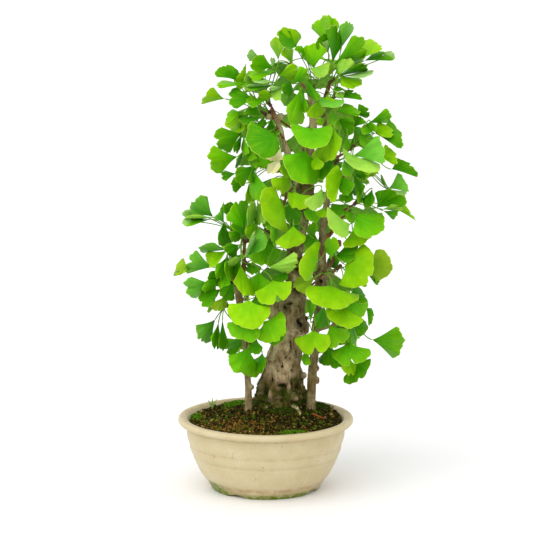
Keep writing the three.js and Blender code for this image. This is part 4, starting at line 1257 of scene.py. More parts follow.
@dataclass
class Tree:
    """One tree's wood: the frame's solid, remeshed finely and worked into bark.

    lumps, flow and fine are the heights of the bark's swellings, of its flowing grain and of its
    roughness. Wood thinner than girth's first number carries little of them, and past its second
    number all. Between the two numbers of damp_from wood takes up an olive that stands for wetness
    and, at the trunk's foot, for painted shade; knobs that stand out are spared a share of it.
    Creases and the hollows of knots are painted dark as shade. Young wood is thinner and stands
    higher than the first numbers of young_girth and young_height.
    """

    node: str
    voxel: float
    knots: tuple[Knot, ...] = ()
    swell: float = 0.4
    smoothing: int = 5
    lumps: float = 1.3
    flow: float = 0.85
    fine: float = 0.22
    fine_scale: float = 0.7
    plate: float = 3.6
    plate_stretch: float = 6.0
    bend_scale: float = 0.06
    bend: float = 3.0
    lump_scales: Span = (0.095, 0.21)
    girth: Span = (3.0, 28.0)
    least_girth: float = 0.12
    thinnest: float = 4.0
    # creases and knot hollows are painted dark as shade
    cavity: Span = (0.15, 0.95)
    hollow_shade: float = 0.8
    cavity_reach: int = 14
    black_depth: float = 5.0
    dry_and_lit_height: float = 3.0
    dampest: float = 1.0
    damp_from: Span = (7.0, 20.0)
    least_damp: float = 0.0
    dry_and_lit_share: float = 0.75
    young_girth: Span = (7.0, 4.5)
    young_height: Span = (150.0, 240.0)

    def remesh(self) -> Object:
        """Mesh the frame's solid evenly and finely, a little swollen so that thin twigs last.

        Returns:
            The wood, without bark as yet.
        """
        made = bmesh.new()
        made.from_mesh(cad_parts[self.node].data)
        bmesh.ops.remove_doubles(made, verts=made.verts, dist=1e-6)
        bmesh.ops.recalc_face_normals(made, faces=made.faces)
        made.normal_update()
        for vertex in made.verts:
            vertex.co += vertex.normal * self.swell * MM
        mesh = bpy.data.meshes.new(f"{self.node}_wood")
        made.to_mesh(mesh)
        made.free()
        wood = link(f"{self.node}_wood", mesh)
        change = wood.modifiers.new("even", "REMESH")
        change.mode = "VOXEL"
        change.voxel_size = self.voxel * MM
        graph = bpy.context.evaluated_depsgraph_get()
        even = bpy.data.meshes.new_from_object(wood.evaluated_get(graph))
        wood.modifiers.clear()
        wood.data = even
        return wood

    def relax(self, mesh: Mesh, points: Array, times: int) -> Array:
        """Move each point towards its neighbours' mean.

        Args:
            mesh: The mesh that says which points are neighbours.
            points: Where they stand.
            times: How often they are moved.

        Returns:
            Where they stand then.
        """
        pairs = read(mesh.edges, "vertices", 2)
        counts = np.bincount(pairs.ravel(), minlength=len(points))[:, None]
        for _ in range(times):
            total = np.zeros_like(points)
            for axis in range(3):
                total[:, axis] += np.bincount(pairs[:, 0], points[pairs[:, 1], axis], len(points))
                total[:, axis] += np.bincount(pairs[:, 1], points[pairs[:, 0], axis], len(points))
            points = 0.5 * points + 0.5 * total / np.maximum(counts, 1)
        return points

    def thickness(self, tree: BVHTree, points: Array, normals: Array) -> Array:
        """Measure how thick the wood is.

        Args:
            tree: The wood's surface.
            points: Its points.
            normals: Their normals.

        Returns:
            The thickness behind each point.
        """
        depth = np.full(len(points), self.thinnest)
        for number, (spot, normal) in enumerate(zip(points, normals)):
            inward = Vector(-normal)
            hit = tree.ray_cast(Vector(spot) + inward * 0.2, inward, 80.0)
            if hit[3] is not None:
                depth[number] = hit[3]
        return depth

    def front_spot(self, tree: BVHTree, knot: Knot) -> Vector | None:
        """Return where the line of sight to a knot meets the wood."""
        eye, spot = Vector(ELEVATION.eye), Vector(ELEVATION.place(knot.x, knot.z, 0))
        return tree.ray_cast(eye, (spot - eye).normalized())[0]

    def carve(self, tree: BVHTree, points: Array, normals: Array) -> tuple[Array, ...]:
        """Raise the knobs and sink the hollows.

        Args:
            tree: The wood's surface, for lines of sight.
            points: Its points.
            normals: Their normals.

        Returns:
            The moved points, and how deep in a hollow, how proud and how rusty each one is.
        """
        moved = points.copy()
        hollow, proud, rust = np.zeros((3, len(points)))
        for knot in self.knots:
            spot = self.front_spot(tree, knot)
            if spot is None:
                log.warning("%s: no wood behind the knot at %s, %s", self.node, knot.x, knot.z)
                continue
            away = np.linalg.norm((points - np.array(spot)) * (1, 1, 1 / knot.stretch), axis=1)
            near = bell(away, 0, knot.reach)
            height = near * knot.height
            if knot.rings:
                height += 0.5 * near * np.cos(2 * math.pi * away / knot.rings)
            moved += normals * height[:, None]
            hollow = np.maximum(hollow, near * min(max(-knot.height / self.black_depth, 0.0), 1.0))
            proud = np.maximum(proud, near * min(max(knot.height / self.dry_and_lit_height, 0.0), 1.0))
            rust = np.maximum(rust, near * knot.rust)
        return moved, hollow, proud, rust

    def grain(self, spot: Array) -> Span:
        """Work out the bark's relief.

        Args:
            spot: A point of the wood.

        Returns:
            The swelling and the flowing grain there, each about -1 to 1.
        """
        point = Vector(spot)
        bend = noise.noise(point * self.bend_scale)
        twist = noise.noise(point * self.bend_scale + Vector((9, 4, 1)))
        x, y = spot[X] / self.plate + self.bend * bend, spot[Y] / self.plate + self.bend * twist
        along = Vector((x, y, spot[Z] / (self.plate_stretch * self.plate)))
        ridges = 0.6 - 2.0 * abs(noise.noise(along + Vector((bend, twist, 0)) * 1.5))
        wide, close = (noise.noise(point * scale) for scale in self.lump_scales)
        return wide + 0.5 * close, ridges + 0.5 * noise.noise(along * 2.6)

    def tint(self, points: Array, thickness: Array, cavity: Array, proud: Array) -> Array:
        """Work out what the bark finish reads.

        Args:
            points: The wood's points.
            thickness: How thick the wood is there.
            cavity: How deep in a crease or a hollow they lie, for painted shade.
            proud: How far they stand out on a knob.

        Returns:
            Painted shade of creases and hollows, wetness with painted shade at the foot, and youth
            for each point.
        """
        # olive for wetness, and painted shade at the trunk's foot
        damp_and_shade = self.least_damp + sum(part.at(points) for part in DAMP_SHADE_PARTS)
        damp_and_shade = np.clip(damp_and_shade, 0, 1) * smooth_share(thickness, *self.damp_from)
        # knobs that stand out are spared a share of the olive: of wetness and of painted shade
        # alike
        damp_and_shade = self.dampest * damp_and_shade * (1 - self.dry_and_lit_share * proud)
        high = smooth_share(points[:, Z], *self.young_height)
        young = smooth_share(thickness, *self.young_girth) * high
        return np.stack([np.clip(cavity, 0, 1), damp_and_shade, young], axis=1)

    def build(self, finishes: Finishes) -> Object:
        """Build the wood.

        Args:
            finishes: The materials.

        Returns:
            The wood of the tree.
        """
        wood = self.remesh()
        mesh = wood.data
        points = self.relax(mesh, BENCH.local(read(mesh.vertices, "co", 3)), self.smoothing)
        normals = vertex_normals(mesh, points)
        faces = [tuple(face.vertices) for face in mesh.polygons]
        tree = BVHTree.FromPolygons(points.tolist(), faces)
        thickness = self.thickness(tree, points, normals)
        points, hollow, proud, rust = self.carve(tree, points, normals)
        girth = self.least_girth + (1 - self.least_girth) * smooth_share(thickness, *self.girth)
        grain = np.array([self.grain(spot) for spot in points])
        fine = np.array([noise.noise(Vector(spot * self.fine_scale)) for spot in points])
        rise = self.lumps * girth**1.5 * grain[:, 0] + self.flow * girth * grain[:, 1]
        points += normals * (rise + self.fine * fine)[:, None]
        level = self.relax(mesh, points, self.cavity_reach)
        sunk = np.einsum("ij,ij->i", level - points, vertex_normals(mesh, points))
        # creases and knot hollows painted dark: painted shade
        cavity = smooth_share(sunk, *self.cavity) + self.hollow_shade * hollow
        mesh.vertices.foreach_set("co", BENCH.world(points).ravel())
        tints = self.tint(points, thickness, cavity, proud)
        tints[:, 2] = np.maximum(tints[:, 2], rust)
        store_tint(mesh, tints)
        mesh.materials.clear()
        mesh.materials.append(finishes.bark)
        mesh.polygons.foreach_set("use_smooth", [True] * len(mesh.polygons))
        mesh.update()
        return hand_over(wood, "bark", self.node)


def vertex_normals(mesh: Mesh, points: Array) -> Array:
    """Move a mesh's points and read their normals.

    Args:
        mesh: The mesh.
        points: Where its points go.

    Returns:
        The normals there.
    """
    mesh.vertices.foreach_set("co", BENCH.world(points).ravel())
    mesh.update()
    return read(mesh.vertices, "normal", 3)


MAIN_KNOTS = (
    Knot(4, 154, 6, 2, rings=2.6), Knot(15, 143, 1.8, -1.5), Knot(20, 148, 2.2, -1.6, 1.4),
    Knot(-3, 146, 1.6, -1.8), Knot(-3, 141, 1.4, -1.5), Knot(21, 143, 11, 1.6),
    Knot(18, 132, 6.5, 4.5, 0.8, rust=0.3), Knot(20, 124.5, 5, -5, 0.6),
    Knot(21, 116, 7, -4.5, 1.2),
    Knot(8, 132, 2.2, -2.6, 2), Knot(15, 121, 3.2, 4, rust=0.45), Knot(10, 124, 4, 1.5, rust=0.5),
    Knot(16, 110, 3.6, 5, 0.8, rust=0.7), Knot(28, 122, 3.2, 4, 1.8, rust=0.35),
    Knot(33, 124, 3, -5, 2), Knot(40, 122, 6, -5.5, 1.2), Knot(41, 118, 2.2, 3, rust=0.5),
    Knot(36, 109, 5, 4, 0.7), Knot(42, 111, 2.5, 3, rust=0.4), Knot(46, 137, 3.2, 3),
    Knot(6, 113, 3.2, 4.5, 2.6), Knot(-1, 116, 4.5, -5, 2), Knot(-6, 122, 5, 1.5, 2),
    Knot(31, 174, 1.8, -3, 6), Knot(37, 166, 2, -2.4, 2.4), Knot(24, 159, 2, -1.6, 0.7),
    Knot(28, 163, 5, -1.2), Knot(31, 153, 4, 1.5, rings=2.4), Knot(32, 144, 3.5, -1.8),
    Knot(34, 137, 3, 1.5),
    Knot(43, 199, 7, -4.5, 1.1), Knot(40, 204, 3, -3), Knot(42, 190, 3, -4, 0.6),
    Knot(46, 194.5, 5, 2.5, 0.4), Knot(50, 206, 3.5, 3, rust=0.4), Knot(30, 208, 6, 2, 2),
    Knot(37, 240, 8, -4, 0.8), Knot(34, 246, 3, -3, 1.6), Knot(40, 229, 4, 2, rings=2.8),
    Knot(24, 221, 5, -4.5, 1.3), Knot(30, 226, 3.5, -3, 0.6), Knot(10, 216, 8, 3),
    Knot(33, 219, 4.5, 2.5, 1.5), Knot(35, 256, 4, 3, 1.4), Knot(38, 267, 3.5, -3, 0.7),
    Knot(42, 276, 3, -3, 3),
    Knot(30, 289, 6, -3, 0.7), Knot(20, 288, 3, 3, 2), Knot(44, 292, 4, 2), Knot(42, 326, 4, 2),
)
RIGHT_KNOTS = (
    Knot(62, 131, 2.5, 1, rust=0.9), Knot(66, 252, 2.5, -4), Knot(70, 262, 4, 2),
    Knot(62, 266, 4, -3, 2),
)
LEFT_KNOTS = (Knot(-17, 124, 2.5, 1.2),)
THIN_DAMP = (2.0, 6.0)
TREES = (
    Tree("main_trunk", 1.05, MAIN_KNOTS, lumps=1.8),
    Tree(
        "right_trunk", 0.9, RIGHT_KNOTS,
        lumps=0.9, dampest=0.65, damp_from=THIN_DAMP, least_damp=0.8,
    ),
    Tree(
        "left_trunk", 0.75, LEFT_KNOTS,
        lumps=0.8, dampest=0.5, damp_from=THIN_DAMP, least_damp=0.5,
    ),
)


# ------------ leaves
class Tone(Enum):
    """Colour of a leaf as its middle and its rim, light and shade included: the darkest green is
    painted shade, the bright green painted light, the lime green a yellower green with painted
    light.
    """

    DARK = (srgb(54, 142, 4), srgb(76, 154, 6))
    MID = (srgb(78, 166, 8), srgb(104, 180, 10))
    BRIGHT = (srgb(98, 180, 8), srgb(122, 192, 10))
    LIME = (srgb(118, 186, 6), srgb(144, 200, 10))
    LIGHT = (srgb(146, 206, 70), srgb(164, 214, 78))
    TEAL = (srgb(90, 170, 44), srgb(110, 186, 60))
    PALE = (srgb(146, 198, 112), srgb(158, 206, 118))
    OLIVE = (srgb(128, 172, 28), srgb(146, 182, 38))
    WITHERED = (srgb(255, 250, 200), srgb(246, 234, 168))


DARK, MID, BRIGHT, LIME, LIGHT, TEAL, PALE, OLIVE, WITHERED = Tone


@dataclass(frozen=True)
class Bearing:
    """How a blade is formed.

    waist draws its sides in towards the stalk and notch cuts into the outer edge. cup and bend
    roll the sides and the outer edge back, in degrees. fold closes the blade along its middle, or
    opens it when negative, and ripple waves it, in shares of its width.
    """

    waist: float = 0.30
    notch: float = 0.08
    cup: float = 30.0
    bend: float = 26.0
    fold: float = 0.0
    ripple: float = 0.05


class Form(Enum):
    """Kinds of blade."""

    FAN = Bearing()
    WHOLE = Bearing(notch=0.015, waist=0.2)
    LOBED = Bearing(notch=0.26, cup=22)
    CUPPED = Bearing(cup=-64, bend=-34, notch=0.04)
    VALLEY = Bearing(fold=-0.5, notch=0.1, ripple=0.02)
    CURLED = Bearing(bend=80, cup=46, ripple=0.05)
    WAVY = Bearing(ripple=0.1, notch=0.13, cup=10)


FAN, WHOLE, LOBED, CUPPED, VALLEY, CURLED, WAVY = Form


@dataclass(frozen=True)
class FrontLeaf:
    """A leaf of the front elevation: stalk end, two corners, middle of the outer edge, depth."""

    base: Span
    left: Span
    edge: Span
    right: Span
    depth: float
    tone: Tone
    form: Form = FAN


@dataclass(frozen=True)
class LeafPose:
    """A leaf in space: its four points, the direction its relief stands in, and its looks."""

    base: Array
    left: Array
    edge: Array
    right: Array
    relief: Array
    tone: Tone
    form: Form
    seed: float

    @property
    def along(self) -> Array:
        """Return the direction from the stalk to the outer edge."""
        return unit(self.edge - self.base)

    @property
    def width(self) -> float:
        """Return the distance between the corners."""
        return float(np.linalg.norm(self.right - self.left))

    @property
    def length(self) -> float:
        """Return the distance from the stalk to the outer edge."""
        return float(np.linalg.norm(self.edge - self.base))

    def margin(self, across: Array) -> Array:
        """Return points of the outer edge.

        Args:
            across: Places along it, -1 at one corner to 1 at the other.

        Returns:
            The points: an arc through both corners and the middle of the edge.
        """
        middle = (self.left + self.right) / 2
        bulge = float(np.linalg.norm(self.edge - middle)) / self.width
        share = min(max((bulge - 0.15) / 0.3, 0.0), 1.0)
        aside = across + (np.sin(across * math.pi / 2) - across) * share
        out = 1 - across**2 + (np.cos(across * math.pi / 2) - 1 + across**2) * share
        along = aside[..., None] * (self.right - self.left) / 2
        return middle + along + out[..., None] * (self.edge - middle)


@dataclass(frozen=True)
class LeafRules:
    """What all leaves share: their proportions and how far they may lie turned from the eye."""

    width_per_length: float = 1.5
    spare: float = 1.04
    corner_at: float = 0.45
    corner_range: Span = (-0.3, 0.9)
    most_turn: float = 0.8
    flip_tones: tuple = (PALE,)

    def pose(self, leaf: FrontLeaf) -> LeafPose:
        """Place a leaf of the elevation in space.

        Args:
            leaf: The leaf.

        Returns:
            Its pose: a blade seen short leans its outer edge to the eye, one seen narrow is turned.
        """
        seen_length, seen_width = math.dist(leaf.base, leaf.edge), math.dist(leaf.left, leaf.right)
        width = self.spare * max(seen_width, self.width_per_length * seen_length)
        length = width / self.width_per_length
        fall = math.sqrt(max(length**2 - seen_length**2, 0.0))
        turn = min(math.sqrt(max(width**2 - seen_width**2, 0.0)), self.most_turn * width) / 2
        seed = leaf.base[0] + 7 * leaf.base[1]
        if chance(seed) < 0.5:
            turn = -turn
        way = np.subtract(leaf.edge, leaf.base)
        halfway = (np.array(leaf.left) + np.array(leaf.right)) / 2 - leaf.base
        share = np.clip(np.dot(halfway, way) / seen_length**2, *self.corner_range)
        corner_depth = leaf.depth - share * fall
        base = ELEVATION.place(*leaf.base, leaf.depth)
        edge = ELEVATION.place(*leaf.edge, leaf.depth - fall)
        left = ELEVATION.place(*leaf.left, corner_depth - turn)
        right = ELEVATION.place(*leaf.right, corner_depth + turn)
        to_eye = unit(np.array(ELEVATION.eye) - base)
        if np.dot(np.cross(right - left, edge - base), to_eye) < 0:
            left, right = right, left
        return LeafPose(base, left, edge, right, to_eye, leaf.tone, leaf.form, seed)


RULES = LeafRules()


@dataclass(frozen=True)
class Blade:
    """Makes the fan of a leaf: a thin closed sheet with a scalloped, waved outer edge.

    The outer edge has swings, finer waves and teeth, each as a depth and how often it comes.
    """

    columns: int = 38
    rows: int = 8
    thickness: float = 0.45
    thinning: float = 0.55
    throat: float = 0.02
    last_row: float = 0.955
    shade: float = 1.03
    blend: Span = (0.3, 0.95)
    rim_share: float = 0.65
    corner: float = 0.05
    swings: Span = (0.026, 2.3)
    waves: Span = (0.017, 5.1)
    teeth: Span = (0.010, 11.7)
    crease: float = 0.06
    twist: float = 0.10
    margin: Triple = srgb(206, 226, 84)

    def reach(self, leaf: LeafPose, form: Bearing, across: Array) -> Array:
        """Return how far out the blade goes at each place along its outer edge.

        Args:
            leaf: The leaf.
            form: How it is formed.
            across: Place along the edge, -1 to 1.

        Returns:
            Shares of the way from the stalk to the plain outer edge.
        """
        draw = [chance(leaf.seed + k) for k in (0.11, 0.37, 0.59, 0.83, 0.95)]
        middle, wide = 0.2 * (draw[2] - 0.5), 0.06 + 0.05 * draw[3]
        cleft = form.notch * (0.5 + draw[1]) * bell(across, middle, wide)
        ripples = zip((self.swings, self.waves, self.teeth), (draw[3], draw[4], draw[0]))
        edge = sum(
            depth * np.sin(often * across * math.pi + 6 * start)
            for (depth, often), start in ripples
        )
        return 1 - cleft + edge - self.corner * smooth_share(np.abs(across), 0.84, 1)

    def grid(self, leaf: LeafPose) -> tuple[Array, Array, Array]:
        """Return the middle surface of a blade.

        Args:
            leaf: The leaf.

        Returns:
            Its points row by row, and for each point its place across and out along the blade.
        """
        form = leaf.form.value
        across = np.linspace(-1, 1, self.columns)
        out = np.append(np.linspace(self.throat, self.last_row, self.rows - 1) ** 0.9, 1.0)[:, None]
        drawn = across * (1 - form.waist * (1 - out) ** 1.6)
        reach = self.reach(leaf, form, across) * out
        points = leaf.base + (leaf.margin(drawn) - leaf.base) * reach[..., None]
        x, y = drawn * out * leaf.width / 2, np.broadcast_to(out * leaf.length, drawn.shape)
        draw = [chance(leaf.seed + k) for k in (1.3, 1.7, 2.1, 2.9, 3.7)]
        cup = math.radians(form.cup * (0.5 + draw[0])) / (leaf.width / 2)
        bend = math.radians(form.bend * (0.4 + 1.2 * draw[1])) / leaf.length
        depth = -(1 - np.cos(cup * x)) / cup - (1 - np.cos(bend * y)) / bend
        depth += out * (1 - math.cos(bend * leaf.length)) / bend
        crease = self.crease * leaf.width
        depth -= form.fold * (np.sqrt(x * x + crease**2) - crease)
        turn = across * math.pi / 2
        waves = np.sin((2.5 + 2.5 * draw[2]) * turn + 6 * draw[3])
        waves += 0.35 * np.sin(8 * turn + 6 * draw[0])
        depth += form.ripple * leaf.width * out**2 * waves
        depth += self.twist * (draw[4] - 0.5) * x * y / leaf.width * 2
        points = points + depth[..., None] * leaf.relief
        return points, np.broadcast_to(across, depth.shape), np.broadcast_to(out, depth.shape)

    def add(self, shells: Shells, leaf: LeafPose) -> None:
        """Add a blade, its upper side in material 0 and its underside in material 1.

        Args:
            shells: The shells it joins.
            leaf: The leaf.
        """
        points, across, out = self.grid(leaf)
        rows, columns = out.shape
        total = rows * columns
        normals = unit(np.cross(np.gradient(points, axis=1), np.gradient(points, axis=0)))
        half = normals * (self.thickness * (1 - self.thinning * out**4))[..., None] / 2
        top = grid_faces(rows, columns)
        under = [tuple(corner + total for corner in reversed(face)) for face in top]
        ring = self.border(rows, columns)
        rim = [(a, a + total, b + total, b) for a, b in zip(ring, ring[1:] + ring[:1])]
        core, edge = (np.array(colour) for colour in leaf.tone.value)
        share = smooth_share(out, *self.blend)[..., None]
        tint = (core * (1 - share) + edge * share) * self.shade
        tint = tint * (0.9 + 0.2 * chance(leaf.seed + 5))
        bright = smooth_share(out, 0.96, 1.0)[..., None] * self.rim_share
        tint = (tint * (1 - bright) + bright * np.array(self.margin)).reshape(-1, 3)
        fan = np.stack([across, out], axis=-1).reshape(-1, 2)
        upper, lower = (1, 0) if leaf.tone in RULES.flip_tones else (0, 1)
        slots = [upper] * len(top) + [lower] * len(under) + [upper] * len(rim)
        sides = np.vstack([(points + half).reshape(-1, 3), (points - half).reshape(-1, 3)])
        shells.add(sides, top + under + rim, np.tile(tint, (2, 1)), slots, np.tile(fan, (2, 1)))

    def border(self, rows: int, columns: int) -> list[int]:
        """Number the points round the edge of a grid, against the upper side's winding.

        Args:
            rows: Rows of points.
            columns: Points in a row.

        Returns:
            The numbers in order.
        """
        low = list(range(columns))
        right = [row * columns + columns - 1 for row in range(1, rows)]
        high = [(rows - 1) * columns + column for column in range(columns - 2, -1, -1)]
        left = [row * columns for row in range(rows - 2, 0, -1)]
        return low + right + high + left


@dataclass(frozen=True)
class Spur:
    """Short shoot and leaf stalks.

    The stalks leave the shoot one above the other, first and stagger up it and aside of its axis.
    A stalk curves as its two ends pull it along the shoot and along the blade, and it overlaps
    the blade.
    """

    radius: float = 2.3
    length: float = 8.0
    out: float = 0.7
    rise: float = 0.7
    first: float = 1.6
    stagger: float = 1.0
    aside: float = 1.2
    crown_axis: Span = (41.0, 28.0)
    scars: int = 4
    scar_height: float = 0.16
    bud: float = 0.72
    rings: int = 15
    sides: int = 10
    sunk: float = 0.15
    bud_from: float = 0.86
    bud_tip: float = 0.5
    knobs: float = 0.18
    pull: float = 0.3
    most_pull: float = 12.0
    overlap: float = 1.2
    collar: float = 0.5
    stalk_radius: float = 0.62
    stalk_end: float = 0.95
    stalk_tip: float = 0.25
    stalk_points: int = 11
    stalk_sides: int = 6
    green: Triple = srgb(118, 168, 40)
    brown: Triple = srgb(112, 84, 56)

    def heading(self, foot: Array) -> Array:
        """Return the direction of a short shoot: outwards from the crown's axis and up."""
        out = unit(np.array((foot[0] - self.crown_axis[0], foot[1] - self.crown_axis[1], 0.0)))
        return unit(out * self.out + UP * self.rise)

    def stalk_start(self, foot: Array, heading: Array, base: Array, number: int) -> Array:
        """Return where the stalk of a leaf leaves the short shoot.

        Args:
            foot: Foot of the short shoot.
            heading: Its direction.
            base: Where the leaf's blade starts.
            number: The leaf's number on the shoot.

        Returns:
            The point.
        """
        start = foot + heading * (self.first + self.stagger * number)
        aside = base - start
        return start + unit(aside - heading * np.dot(aside, heading)) * self.aside

    def add_stalk(self, shells: Shells, start: Array, heading: Array, leaf: LeafPose) -> None:
        """Add the stalk of a leaf: a curve that leaves along the shoot and arrives along the blade.

        Args:
            shells: The shells it joins.
            start: Where it leaves the shoot.
            heading: The shoot's direction.
            leaf: The leaf.
        """
        reach = float(np.linalg.norm(leaf.base - start))
        first = start + unit(heading + unit(leaf.base - start)) * reach * self.pull
        last = leaf.base - leaf.along * min(self.pull * reach, self.most_pull)
        share = np.linspace(0, 1, self.stalk_points)[:, None]
        path = (
            start * (1 - share) ** 3
            + 3 * first * share * (1 - share) ** 2
            + 3 * last * share**2 * (1 - share)
            + (leaf.base + leaf.along * self.overlap) * share**3
        )
        t = share[:, 0]
        radii = self.stalk_radius * (1 + self.collar * (1 - t) ** 6)
        radii += (self.stalk_end - self.stalk_radius) * t**5
        radii[-1] = self.stalk_tip
        tint = np.array(self.green) * (0.85 + 0.3 * chance(leaf.seed + 9))
        shells.add(*sweep(path, radii, self.stalk_sides), tint, 2)

    def add_wood(self, shells: Shells, foot: Array, heading: Array, seed: float) -> None:
        """Add the ringed, knobbly wood of the short shoot with a blunt bud at its tip.

        Args:
            shells: The shells it joins.
            foot: Foot of the short shoot.
            heading: Its direction.
            seed: Number that its knobs start from.
        """
        share = np.linspace(-self.sunk, 1, self.rings)
        path = foot + heading * (share * self.length)[:, None]
        scars = 1 + self.scar_height * np.cos(share * math.pi * 2 * self.scars)
        radii = self.radius * scars * np.where(share > self.bud_from, self.bud, 1.0)
        radii[-1] = self.bud_tip
        shells.add(*sweep(path, radii, self.sides, self.knobs, seed), self.brown, 3)


SPUR = Spur()
BLADE = Blade()
BACK_BLADE = Blade(columns=26, rows=6)


@dataclass
class LeafSpray:
    """One short shoot with its leaves."""

    number: int
    foot: Array
    leaves: list[LeafPose]
    blade: Blade = BLADE

    def build(self, finishes: Finishes) -> Object:
        """Build the spray.

        Args:
            finishes: The materials.

        Returns:
            The spray.
        """
        shells = Shells()
        heading = SPUR.heading(self.foot)
        SPUR.add_wood(shells, self.foot, heading, self.number * 3.1)
        for number, leaf in enumerate(self.leaves):
            start = SPUR.stalk_start(self.foot, heading, leaf.base, number)
            SPUR.add_stalk(shells, start, heading, leaf)
            self.blade.add(shells, leaf)
        node = f"leaf_spray_{self.number:02d}"
        materials = [finishes.upper, finishes.under, finishes.stalk, finishes.spur]
        spray = shells.build(f"{node}_foliage", materials)
        return hand_over(spray, "leaf", node)


def leaf(
    base_x: float, base_z: float, left_x: float, left_z: float, edge_x: float, edge_z: float,
    right_x: float, right_z: float, depth: float, tone: Tone = MID, form: Form = FAN,
) -> LeafPose:
    """Return a leaf of the front elevation from its four places, its depth and its looks."""
    places = ((base_x, base_z), (left_x, left_z), (edge_x, edge_z), (right_x, right_z))
    return RULES.pose(FrontLeaf(*places, depth, tone, form))


def spray(x: float, z: float, depth: float, *rows: tuple) -> tuple[Array, list[LeafPose]]:
    """Return the foot of a front spray and its leaves, each from a row of numbers and looks."""
    return ELEVATION.place(x, z, depth), [leaf(*row) for row in rows]


